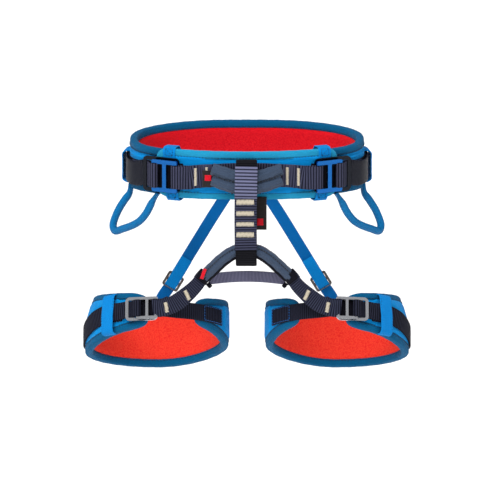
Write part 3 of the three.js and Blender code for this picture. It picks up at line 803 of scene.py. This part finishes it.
def make_waist_webbing():
    s = np.linspace(142, BELT.length - 142, 300)
    rear = webbing("waist_webbing_rear", BELT.at(s, 6.4, webbing_centre(s)), UP, WAIST_WEBBING, 2.0, 3.4, 0.16)
    finish_piece(rear, MATERIALS["black_webbing"], "root", ["waist_webbing_back"])

    s = np.linspace(-58, 58, 80)
    out = 12.9 + 3.2 * smooth((np.abs(s) - 18) / 36)
    centre = webbing(
        "waist_webbing_front_run", BELT.at(s, out, webbing_centre(s)), UP, WAIST_WEBBING - 3, 1.9, 3.4, 0.3
    )
    finish_piece(centre, MATERIALS["webbing"], "root", ["waist_webbing_front"])

    for name, side in SIDES.items():
        place = belt_place(side)
        inner_leaf = [BELT.at(v, 12.9 + 3.2 * smooth((v - 18) / 36), webbing_centre(v)) for v in (44, 52)]
        turn = [beside(BELT, BUCKLE_AT, SLIDER_INNER_BAR + x, SLIDER_OUT + out, BUCKLE_Z) for x, out in FOLD]
        route = spline([*inner_leaf, *turn, BELT.at(62, 19.3, -2.2), BELT.at(57, 19.0, -1.8)], 0.5)
        fold = webbing(f"{name}_waist_webbing_fold", place(route), UP, WAIST_WEBBING - 3, 1.9, 3.4, 0.3)
        fold.data.materials.append(MATERIALS["webbing"])
        start = place(beside(BELT, BUCKLE_AT, SLIDER_INNER_BAR - 14, SLIDER_OUT, BUCKLE_Z))
        end = place(beside(BELT, BUCKLE_AT, SLIDER_INNER_BAR - 3, SLIDER_OUT, BUCKLE_Z))
        metres(start)
        metres(end)
        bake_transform(fold)
        route_top = route + BELT.outward(66.0) * 1.4

        turn = [beside(BELT, BUCKLE_AT, SLIDER_OUTER_BAR - x, SLIDER_OUT + out, BUCKLE_Z) for x, out in FOLD[3:6]]
        lower_leaf = [BELT.at(158, 7.4, webbing_centre(158)), BELT.at(147, 9.2, webbing_centre(147))]
        lower_leaf += [beside(BELT, BUCKLE_AT, x, out, BUCKLE_Z) for x, out in ((26, 8.2), (17, 10.4), (10, 15.2))]
        upper_leaf = [beside(BELT, BUCKLE_AT, x, out, BUCKLE_Z) for x, out in UPPER_LEAF]
        route = spline([*lower_leaf, *turn, *upper_leaf[:3]], 0.5)
        back = webbing(f"{name}_waist_webbing_turn", place(route), UP, WAIST_WEBBING - 1, 1.7, 3.4, 0.2)
        back.data.materials.append(MATERIALS["webbing"])
        start = place(beside(BELT, BUCKLE_AT, SLIDER_OUTER_BAR + 26, SLIDER_OUT, BUCKLE_Z))
        end = place(beside(BELT, BUCKLE_AT, SLIDER_OUTER_BAR + 4, SLIDER_OUT, BUCKLE_Z))
        metres(start)
        metres(end)
        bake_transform(back)

        laid = [BELT.at(v, mix(13.0, 9.4, smooth((v - 143) / 45)), webbing_centre(v)) for v in range(143, 233, 8)]
        route = spline([*upper_leaf[1:], *laid], 0.8)
        tail = webbing(
            f"{name}_webbing_tail_end", place(route), UP, WAIST_WEBBING - 1, 1.8, 2.2, 0.12,
            scale=lambda u: 1 - 0.28 * smooth((u - 0.93) / 0.07),
        )
        tail.data.materials.append(MATERIALS["tail"])
        tail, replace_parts(tail, f"{name}_webbing_tail")
        metres(start)
        metres(end)
        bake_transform(tail)

        route = spline([beside(BELT, BUCKLE_AT, x, out, BUCKLE_Z) for x, out in BACKING], 0.8)
        backing = webbing(f"{name}_buckle_backing", place(route), UP, WAIST_WEBBING, 1.4, 2.2, 0.1)
        finish_piece(backing, MATERIALS["black_webbing"], "root")

        band = keeper_band(f"{name}_webbing_keeper_band", place, BELT, 205.0, 26, 10.5, -31.5, 13.6, 3.6)
        finish_piece(band, MATERIALS["elastic"], "root", [f"{name}_webbing_keeper"])

        front = np.array([0, -1.0, 0])
        top = place(route_top)
        tack = bartack(f"{name}_outer_waist_bartack", top[-13], top[-13] - top[-8], UP, front, 3.8, 22)
        finish_piece(tack, MATERIALS["bartack"], "root")
        centre = place(BELT.at(49.5, 17.9, -1.2))
        run = place(BELT.at(51.5, 17.9, -1.2)) - centre
        tack = bartack(f"{name}_inner_waist_bartack", centre, run, UP, front, 3.8, 22)
        finish_piece(tack, MATERIALS["bartack"], "root")


def make_pad_keepers():
    """Sewn loops that hold the ends of the front pad to the main pad."""
    for name, side in SIDES.items():
        place = belt_place(side)
        low, high, back, front = FRONT_PAD_BOTTOM - 6.6, FRONT_PAD_TOP + 4.0, -7.6, 12.6
        corners = [(back, 0), (back, high - 4), (back + 4, high + 0.4), (front - 4, high + 0.4), (front, high - 4)]
        corners += [(front, 0), (front, low + 4), (front - 4, low - 0.4), (back + 4, low - 0.4), (back, low + 4)]
        loop = np.array([*corners, corners[0]], float)
        loop = resample(loop, 1.5)[:-1]
        lean = (high - loop[:, 1]) / (high - low)
        path = place(BELT.at(97.5 - 5.0 * lean, loop[:, 0], loop[:, 1]))
        across = place(BELT.tangent(95.0))
        section = flat_section(17, 1.5, 7)
        band = sweep(f"{name}_pad_keeper_band", path, across, section, closed=True)
        finish_piece(band, MATERIALS["elastic"], "root", [f"{name}_pad_keeper"])
        rows = []
        for k, z in enumerate((FRONT_PAD_TOP - 1, FRONT_PAD_BOTTOM + 1)):
            box = [(-5, -4.5), (5, -4.5), (5, 4.5), (-5, 4.5), (-5, -4.5)]
            cross = [(-5, -4.5), (5, 4.5)]
            for n, outline in enumerate((box, cross)):
                line = resample(np.array(outline, float), 0.8)
                points = np.array([beside(BELT, 97.0 - 4.0 * k, u, front + 1.0, z + v) for u, v in line])
                normal = place(BELT.outward(95.0))
                rows.append(stitches(f"row_{name}_{k}_{n}", place(points), normal, 2.0, 1.0, 0.36))
        box_rows = join(f"{name}_pad_keeper_stitches", rows)
        finish_piece(box_rows, MATERIALS["dark_thread"], "root")


def dress_node(node, material, bevel=0.5):
    """A rigid CAD node shown as it is, with eased edges and a node material."""
    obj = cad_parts[node]
    obj.data.materials.clear()
    obj.data.materials.append(material)
    ease = obj.modifiers.new("Eased edges", "BEVEL")
    ease.width = bevel * MM
    ease.segments = 3
    ease.limit_method = "ANGLE"
    ease.angle_limit = math.radians(32)
    ease.harden_normals = False
    return obj


def make_hardware():
    for name in SIDES:
        dress_node(f"{name}_waist_buckle_frame", MATERIALS["black_alloy"], 0.8)
        dress_node(f"{name}_waist_buckle_slider", MATERIALS["blue_alloy"], 0.9)
        dress_node(f"{name}_leg_buckle_frame", MATERIALS["steel"], 0.7)
        dress_node(f"{name}_leg_buckle_slider", MATERIALS["steel"], 0.7)
        dress_node(f"{name}_riser_adjuster", MATERIALS["dark_steel"], 0.6)


# ---------- tie-in points, belay loop and labels ----------
def pleated(amount, seed):
    """Creases that run along a gathered sleeve, and slow folds across it."""

    def relief(shape, run, rim):
        angle = np.arctan2(shape[..., 1], shape[..., 0])
        fold = np.sin(run * 0.42 + seed) + 0.6 * np.sin(run * 0.83 + angle + 2 * seed)
        crease = np.sin(angle * 7 + 1.4 * np.sin(run * 0.07 + seed)) + 0.6 * np.sin(angle * 13 + run * 0.05 + 2 * seed)
        return shape * (1 + amount * (0.045 * crease + 0.03 * fold))[..., None]

    return relief


ARCH_SEAM_SIDE = -4.6


def make_tie_in_points():
    u = np.linspace(-1, 1, 140)
    bow = np.cos(u * math.pi / 2)
    route = np.stack([u * 44.5, -106.3 - 7 * bow, 2.6 - 9.6 * bow], 1)
    taper = np.stack([0.88 + 0.12 * np.sqrt(bow), 0.62 + 0.38 * np.sqrt(bow)], 1)
    tubes = []
    for seed, offset in ((0.7, 7.0), (2.9, -7.0)):
        lobe = route + UP * offset
        tubes.append(sweep(f"lobe_{seed}", lobe, UP, round_section(8.2, 6.7, 72), taper, pleated(1.0, seed)))
    sleeve = join("waist_tie_in_cover", tubes)
    finish_piece(sleeve, MATERIALS["sleeve"], "root", ["waist_tie_in_sleeve"])
    seam = stitches("waist_tie_in_seam", route + [0, -5.0, 0.2], [0, -1, 0.0], 2.6, 1.0, 1.0)
    finish_piece(seam, MATERIALS["grey_thread"], "root")

    arch = [(-56, -108.4, -132), (-43, -110.8, -119), (-30, -112, -106.6), (-15, -113, -97), (0, -113, -94.4)]
    arch += [(-x, y, z) for x, y, z in arch[3::-1]]
    route = spline(arch, 0.8)
    across = np.cross(unit(np.gradient(route, axis=0)), [0, -1.0, 0])
    sleeve = sweep("lower_tie_in_cover", route, across, round_section(8.0, 7.4, 72), None, pleated(0.6, 2.1))
    finish_piece(sleeve, MATERIALS["sleeve"], "root", ["lower_tie_in_sleeve"])
    seam_line = route + unit(across) * ARCH_SEAM_SIDE + [0, -6.7, 0]
    seam = stitches("lower_tie_in_seam", seam_line[6:-6], [0, -1, 0.0], 2.6, 1.0, 0.9)
    finish_piece(seam, MATERIALS["grey_thread"], "root")
    # A black strip along the arch's lower edge: partly the tie-in strap showing under the sleeve, partly painted shade
    # on the tube's underside.
    strap = sweep(
        "lower_tie_in_strap_and_painted_shade", route[3:-3] + unit(across[3:-3]) * 6.4 + [0, -1.0, 0], across[3:-3],
        round_section(3.2, 4.6, 20),
    )
    finish_piece(strap, MATERIALS["black_webbing"], "root")
    for name, side in SIDES.items():
        place = belt_place(side)
        cuff_route = spline([(52.5, -109.2, -127), (57, -108.8, -132), (61, -110.5, -137)], 0.6)
        facing = np.cross(unit(np.gradient(cuff_route, axis=0)), [0, -1.0, 0])
        cuff = sweep(f"{name}_arch_end_cuff", place(cuff_route), facing * [side, 1, 1], round_section(9.4, 7.2, 24))
        finish_piece(cuff, MATERIALS["black_webbing"], "root")

    route = spline([(-50, -91, -139), (-24, -91.6, -136), (0, -92, -135), (24, -91.6, -136), (50, -91, -139)], 1)
    cross = webbing("cross_strap_band", route, facing_front, 14.6, 2.2, 1.8, 0.3)
    finish_piece(cross, MATERIALS["cross"], "root", ["cross_strap"])
    for name, side in SIDES.items():
        route = spline([(51, -94.0, -143.5), (48.5, -94.6, -146.5), (46.5, -94.2, -148.5)], 0.6) * [side, 1, 1]
        tab = webbing(f"{name}_cross_strap_tab", route, facing_front, 5.5, 2.4, 1.8, 0.1)
        finish_piece(tab, MATERIALS["black_webbing"], "root")


def rounded_loop(depth, height, radius, spacing=0.6):
    """Centre line of a closed upright loop, in (y, z), from the middle of its front going down."""
    quarter = np.linspace(0, math.pi / 2, 12)
    corner = np.stack([radius * np.cos(quarter), radius * np.sin(quarter)], 1)
    y, z = depth / 2 - radius, height / 2 - radius
    front_low = np.stack([-y - corner[:, 0], -z - corner[:, 1]], 1)
    back_low = np.stack([y + corner[::-1, 0], -z - corner[::-1, 1]], 1)
    line = np.vstack([[(-depth / 2, 0)], front_low, back_low, -front_low, -back_low, [(-depth / 2, 0)]])
    return resample(line, spacing)[:-1]


def make_belay_loop():
    loop = rounded_loop(20, 135, 8)
    path = np.stack([np.full(len(loop), -1.0), loop[:, 0] - 113, loop[:, 1] - 46.5], 1)
    path[:, 0] += 0.8 * np.sin(path[:, 2] * 0.03)
    section = flat_section(27, 3.6, 9)
    core = sweep("belay_loop_core", path, np.array([1.0, 0, 0]), section, relief=ribs(2.4, 0.16), closed=True)
    finish_piece(core, MATERIALS["belay_black"], "belay_loop", ["belay_loop"])

    for name, high, low, pitch, depth, material in (
        ("belay_loop_face", 17.5, -24.5, 4.4, 0.8, "belay"),
        ("belay_loop_lower_face", -24.9, -93.0, 2.9, 0.4, "webbing"),
    ):
        z = np.linspace(high, low, 160)
        bulge = 0.7 * smooth((17.5 - z) / 8) * smooth((z + 93) / 8)
        route = np.stack([-1 + 0.8 * np.sin(z * 0.03), -125.0 - bulge, z], 1)
        face = webbing(name, route, np.array([1.0, 0, 0]), 28.6, 1.7, pitch, depth, 9)
        finish_piece(face, MATERIALS[material], "belay_loop")
    for k, (top, bottom) in enumerate(((-25.8, -33.2), (-41, -47.6), (-55.4, -61.4), (-68.5, -75.8))):
        middle = (top + bottom) / 2
        centre = np.array([-1.6 + 0.8 * math.sin(middle * 0.03), -126.9, middle])
        down, right, front = np.array([0, 0, -1.0]), np.array([1.0, 0, 0]), np.array([0, -1.0, 0])
        tack = bartack(f"belay_loop_bartack_{k + 1}", centre, down, right, front, top - bottom, 21.5)
        finish_piece(tack, MATERIALS["bartack"], "belay_loop")


def cloth_tag(name, centre, wide, tall, normal, width, height, thickness, curl, material):
    """A small woven tag with a gentle curl down its height."""
    wide, tall, normal = unit(wide), unit(tall), unit(normal)
    v = np.linspace(-0.5, 0.5, 24)[:, None]
    route = centre - tall * v * height + normal * curl * (np.sin(v * 5.0) + 0.4 * np.sin(v * 11.0))
    tag = webbing(name, route, wide, width, thickness, 0)
    tag.data.materials.append(material)
    return tag


def make_labels():
    right, up, front = np.array([1.0, 0, 0]), UP, np.array([0, -1.0, 0])
    place = belt_place(-1)
    centre = place(BELT.at(49, 19.4, -4.6))
    along = place(BELT.tangent(49.0))
    outward = place(BELT.outward(49.0))
    tag = cloth_tag("waist_label_tag", centre, along, up, outward, 11.6, 22, 0.8, 0.2, MATERIALS["label"])
    tag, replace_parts(tag, "waist_label"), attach(tag, "root")
    patch = cloth_tag(
        "waist_label_patch", centre + outward * 0.7 - along * 1.5 + up * 1.4, along, up, outward, 8.4, 7.6, 0.5, 0.1, MATERIALS["red_label"]
    )
    patch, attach(patch, "root")

    centre = np.array([18.8, -98.3, -50.4])
    tag = cloth_tag("hanging_label_tag", centre, right, up, front, 13, 43, 1.1, 0.8, MATERIALS["label"])
    tag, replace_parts(tag, "hanging_label"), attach(tag, "root")
    patch = cloth_tag(
        "hanging_label_patch", centre + [-1.8, -1.8, -11.0], right, up, front, 8, 9, 0.5, 0.1, MATERIALS["red_label"]
    )
    patch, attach(patch, "root")
    tag = cloth_tag(
        "lower_label_tag", np.array([-56.0, -118.4, -125.5]), [0.94, 0, -0.34], [0.34, 0, 0.94], front, 4.4, 14, 0.9, 0.5,
        MATERIALS["red_label"],
    )
    tag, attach(tag, "root")


# ---------- gear loops ----------
GEAR_ROUTE = [
    (152, -13, -42),
    (159, -15, -52),
    (167.5, -17, -66),
    (173.5, -21, -83),
    (171, -29, -89),
    (160.5, -42, -83.5),
    (146.5, -56, -75),
    (138, -63, -68),
    (129.5, -68, -56.5),
    (121, -68, -40),
]
GEAR_TOP = -30.0
GEAR_FREE = -50.0
GEAR_ALONG = np.array([0.48, -0.85, 0.0])


def make_gear_loops():
    for name, side in SIDES.items():
        place = belt_place(side)
        route = place(spline([(150, -11.5, GEAR_TOP), *GEAR_ROUTE, (114.5, -68.5, GEAR_TOP)], 0.8))
        ends = np.minimum(run_length(route), run_length(route)[-1] - run_length(route))
        flat = smooth((ends - 4) / 16)
        scale = np.stack([mix(1.2, 1.0, flat), mix(0.5, 1.0, flat)], 1)
        tube = sweep(f"{name}_gear_loop_tube", route, GEAR_ALONG * [side, 1, 1], round_section(4.9, 4.9, 20), scale)
        tube.data.materials.append(MATERIALS["tube"])
        tube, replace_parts(tube, f"{name}_gear_loop")
        top, free = metres(place((136, -40, GEAR_TOP - 6))), metres(place((136, -40, GEAR_FREE)))
        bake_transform(tube)
        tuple(top)
        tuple(free)


# ---------- leg loops ----------
LEG_UP = np.array([0, math.sin(LEG_TILT), math.cos(LEG_TILT)])
LEG_BUCKLE_AT = 17.0
LEG_SLIDER_OUT = 15.0
LEG_OUTER_BAR = 4.2


def leg_webbing_centre(s):
    return -1 - 16 * smooth((s - 62) / 75)


def on_leg(side, s, out, z):
    return leg_place(side)(LEG.at(s, out, z))


def make_leg_loops():
    for name, side in SIDES.items():
        body = f"{name}_leg_loop"
        place = leg_place(side)
        s = np.linspace(43, 190, 160)
        outer = webbing(
            f"{name}_leg_webbing_band", place(LEG.at(s, 6.6, leg_webbing_centre(s))), LEG_UP, LEG_WEBBING, 2.0, 3.0, 0.2
        )
        finish_piece(outer, MATERIALS["leg_webbing"], body, [f"{name}_leg_webbing"])
        band = keeper_band(f"{name}_leg_keeper_band", place, LEG, 60.5, 19, 24, -29, 11.2, 4.4)
        finish_piece(band, MATERIALS["elastic"], body, [f"{name}_leg_keeper"])
        rows = []
        for k, v in enumerate((53.0, 68.0)):
            line = np.stack([np.full(40, v), np.linspace(-24, 19, 40)], 1)
            path = place(LEG.at(line[:, 0], 12.3, line[:, 1]))
            rows.append(stitches(f"row_{name}_{k}", path, place(LEG.at(v, 20, 0)) - place(LEG.at(v, 9, 0)), 2.2, 1.4, 0.3))
        finish_piece(join(f"{name}_leg_keeper_stitches", rows), MATERIALS["dark_thread"], body)

        s = np.linspace(-94, -3.5, 110)
        out = 6.6 + 6.0 * smooth((s + 30) / 27)
        inner = webbing(
            f"{name}_leg_inner_band", place(LEG.at(s, out, 0 * s)), LEG_UP, LEG_WEBBING - 3, 2.0, 3.0, 0.2
        )
        finish_piece(inner, MATERIALS["leg_webbing"], body, [f"{name}_leg_inner_strap"])
        corners = resample(np.array([(-92, -9.4), (-62, -9.4), (-62, 9.4), (-92, 9.4), (-92, -9.4)], float), 0.8)
        path = place(LEG.at(corners[:, 0], 7.9, corners[:, 1]))
        lift = place(LEG.at(corners[:, 0], 12, corners[:, 1])) - path
        patch = stitches(f"{name}_leg_patch_stitches", path, lift, 2.4, 1.2, 0.42)
        finish_piece(patch, MATERIALS["blue_thread"], body)

        ahead = LEG.tangent(LEG_BUCKLE_AT)
        beside_leg = lambda x, out: LEG.at(LEG_BUCKLE_AT, out, 0) + ahead * x
        lower = [LEG.at(54, 7.2, -1), LEG.at(46, 8.0, -1), beside_leg(20, 7.0), beside_leg(13, 8.4), beside_leg(7, 11.8)]
        turn = [beside_leg(LEG_OUTER_BAR + x, LEG_SLIDER_OUT + out) for x, out in ((-2.2, -2.4), (-3.4, 0), (-2.2, 2.4))]
        upper = [beside_leg(x, out) for x, out in ((6, 17.6), (10.5, 14.4), (14, 9.8), (20, 9.2))]
        upper += [LEG.at(45, 10.6, -1), LEG.at(54, 9.3, -1), LEG.at(62, 8.7, -1)]
        route = place(spline([*lower, *turn, *upper], 0.4))
        back = webbing(f"{name}_leg_webbing_turn", route, LEG_UP, LEG_WEBBING - 3, 1.5, 3.0, 0.3)
        back.data.materials.append(MATERIALS["leg_webbing"])
        far, near = place(beside_leg(LEG_OUTER_BAR + 14, LEG_SLIDER_OUT)), place(beside_leg(LEG_OUTER_BAR + 3, LEG_SLIDER_OUT))
        metres(far)
        metres(near)
        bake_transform(back)
        route = place(spline([beside_leg(x, out) for x, out in ((-21, 8.4), (-10, 9.4), (0, 9.2), (8, 7.4))], 0.6))
        backing = webbing(f"{name}_leg_buckle_backing", route, LEG_UP, LEG_WEBBING - 2, 1.4, 2.2, 0.1)
        finish_piece(backing, MATERIALS["black_webbing"], body)


BRIDGE = [
    (54, -108.8, -128),
    (58.5, -111.5, -133),
    (65, -117, -141),
    (77, -120.5, -152),
    (92, -121, -163.5),
    (104, -121.0, -168.8),
    (111, -120.6, -170.6),
    (116, -119.8, -171.0),
    (119.6, -117.6, -171.0),
    (120.4, -115.2, -170.8),
    (118.6, -112.9, -170.6),
    (113, -113.6, -170.4),
    (106, -114.6, -169.6),
    (98, -116.2, -165.6),
]


def make_bridges():
    for name, side in SIDES.items():
        body = f"{name}_leg_loop"
        place = belt_place(side)
        route = spline(BRIDGE, 0.5)
        run = run_length(route) / run_length(route)[-1]
        wide = mix(17, 22, smooth(run / 0.5)) / 20
        turned = smooth(run / 0.5)[:, None]
        across = place(mix(-facing_front(route), np.array([0.12, 0.1, 1.0]), turned))
        scale = np.stack([wide, np.ones_like(wide)], 1)
        section = flat_section(20, 2.0, 7)
        strap = sweep(f"{name}_bridge_strap_band", place(route), across, section, scale, ribs(2.8, 0.3))
        strap.data.materials.append(MATERIALS["bridge"])
        strap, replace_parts(strap, f"{name}_bridge_strap")
        start, end = metres(place((55, -111, -125))), metres(place((76, -120, -151)))
        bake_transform(strap)
        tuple(start)
        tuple(end)
        for k, (x, y, z, tilt) in enumerate(((76.8, -122.4, -152.6, 24), (103.6, -122.9, -168.6, 9))):
            angle = math.radians(tilt)
            along = place(np.array([math.cos(angle), 0, -math.sin(angle)]))
            across = place(np.array([math.sin(angle), 0, math.cos(angle)]))
            tack = bartack(
                f"{name}_bridge_bartack_{k + 1}", place((x, y, z)), along, across, np.array([0, -1.0, 0]), 5.0, 12.5
            )
            finish_piece(tack, MATERIALS["bartack"], body)


# ---------- risers ----------
def riser_point(t):
    return RISER_TOP + (RISER_BOTTOM - RISER_TOP) * t


def make_risers():
    along = unit(RISER_BOTTOM - RISER_TOP)
    wide = unit(np.cross(along, [0, -1.0, 0]))
    forward = np.cross(along, wide)
    forward = forward * (1 if forward[1] < 0 else -1)
    for name, side in SIDES.items():
        body = f"{name}_leg_loop"
        place = belt_place(side)
        harness = leg_place(1)
        lower = [harness((-3.5, 86.0, 33)), harness((-3, 86.3, 16))]
        route = spline([(8, 92.5, -27), riser_point(0), riser_point(0.35), riser_point(0.8), riser_point(0.93), *lower], 0.7)
        strap = webbing(f"{name}_riser_band", place(route), place(wide), RISER_WEBBING, 1.8, 1.6, 0.1)
        strap.data.materials.append(MATERIALS["riser"])
        strap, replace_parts(strap, f"{name}_riser_upper", f"{name}_riser_lower")
        start, end = metres(place(riser_point(0.02))), metres(place(riser_point(0.66)))
        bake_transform(strap)
        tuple(start)
        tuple(end)
        route = spline([riser_point(t) + forward * lift for t, lift in ((0.61, 2.2), (0.65, 4.2), (0.69, 5.0), (0.79, 5.1), (0.825, 4.4))], 0.7)
        doubled = webbing(f"{name}_riser_doubled_band", place(route), place(wide), RISER_WEBBING, 1.6, 1.6, 0.1)
        finish_piece(doubled, MATERIALS["elastic"], body)
        edge = riser_point(0.822) + forward * 5.6
        ends = place(np.stack([edge - wide * 7.2, edge + wide * 7.2]))
        hem = stitches(f"{name}_riser_hem", resample(ends, 0.6), place(forward), 2.2, 0.6, 0.5)
        finish_piece(hem, MATERIALS["dark_thread"], body)
        z = -33.5
        tab = cloth_tag(
            f"{name}_riser_anchor_tab", place((12.2, 98.6, z)), place((0.96, 0, -0.28)), place((0.28, 0, 0.96)),
            np.array([0, 1.0, 0]), 21, 17, 1.8, 0.2, MATERIALS["black_webbing"],
        )
        tab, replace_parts(tab, f"{name}_riser_anchor"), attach(tab, "root")


# ---------- studio ----------
def make_studio():
    scene = bpy.context.scene
    floor_z = -0.75
    bpy.ops.mesh.primitive_plane_add(size=40, location=(0, 0, floor_z))
    floor = bpy.context.object
    floor.name = "studio_floor"
    paper = Shader("studio_paper", 0.95, specular=0.05)
    tone = paper.colours(paper.noise(3.0), (0.97, 0.97, 0.97), (0.99, 0.99, 0.99))
    floor.data.materials.append(paper.finish(tone, paper.noise(400.0), 0.01))

    world = bpy.data.worlds.new("studio_world")
    world.use_nodes = True
    sky = world.node_tree.nodes["Background"]
    sky.inputs["Color"].default_value = (1.0, 1.0, 1.0, 1)
    heading = world.node_tree.nodes.new("ShaderNodeTexCoord")
    parts = world.node_tree.nodes.new("ShaderNodeSeparateXYZ")
    height = world.node_tree.nodes.new("ShaderNodeMapRange")
    for label, value in (("From Min", 0.05), ("From Max", 0.75), ("To Min", 0.14), ("To Max", 0.62)):
        height.inputs[label].default_value = value
    world.node_tree.links.new(heading.outputs["Generated"], parts.inputs[0])
    world.node_tree.links.new(parts.outputs["Z"], height.inputs["Value"])
    world.node_tree.links.new(height.outputs[0], sky.inputs["Strength"])
    scene.world = world

    sun_data = bpy.data.lights.new("overhead_light", "SUN")
    sun_data.energy = 2.75
    sun_data.angle = math.radians(40)
    sun = bpy.data.objects.new("overhead_light", sun_data)
    sun.visible_glossy = False
    sun.rotation_euler = (math.radians(34), 0, math.radians(-28))
    scene.collection.objects.link(sun)
    for name, place, size, power in (
        ("key_light", (-0.9, -1.9, 0.9), 2.0, 16.0),
        ("fill_light", (1.6, -1.8, 0.4), 2.0, 9.0),
    ):
        data = bpy.data.lights.new(name, "AREA")
        data.size = size
        data.energy = power
        light = bpy.data.objects.new(name, data)
        light.location = place
        light.visible_glossy = False
        light.rotation_euler = (Vector((0, 0, -0.12)) - Vector(place)).to_track_quat("-Z", "Y").to_euler()
        scene.collection.objects.link(light)

    camera_data = bpy.data.cameras.new("photo_camera")
    camera_data.lens = 500
    camera_data.sensor_width = 36
    camera_data.clip_end = 60
    camera = bpy.data.objects.new("photo_camera", camera_data)
    aim = Vector((3.9, 0, -121.4)) * MM
    elevation = math.radians(13)
    camera.location = aim + Vector((0, -math.cos(elevation), math.sin(elevation))) * 9.03
    camera.rotation_euler = (aim - camera.location).to_track_quat("-Z", "Y").to_euler()
    scene.collection.objects.link(camera)
    scene.camera = camera
    scene.view_settings.view_transform = "Standard"


make_pads()
make_waist_webbing()
make_pad_keepers()
make_hardware()
make_tie_in_points()
make_belay_loop()
make_labels()
make_gear_loops()
make_leg_loops()
make_bridges()
make_risers()
make_studio()
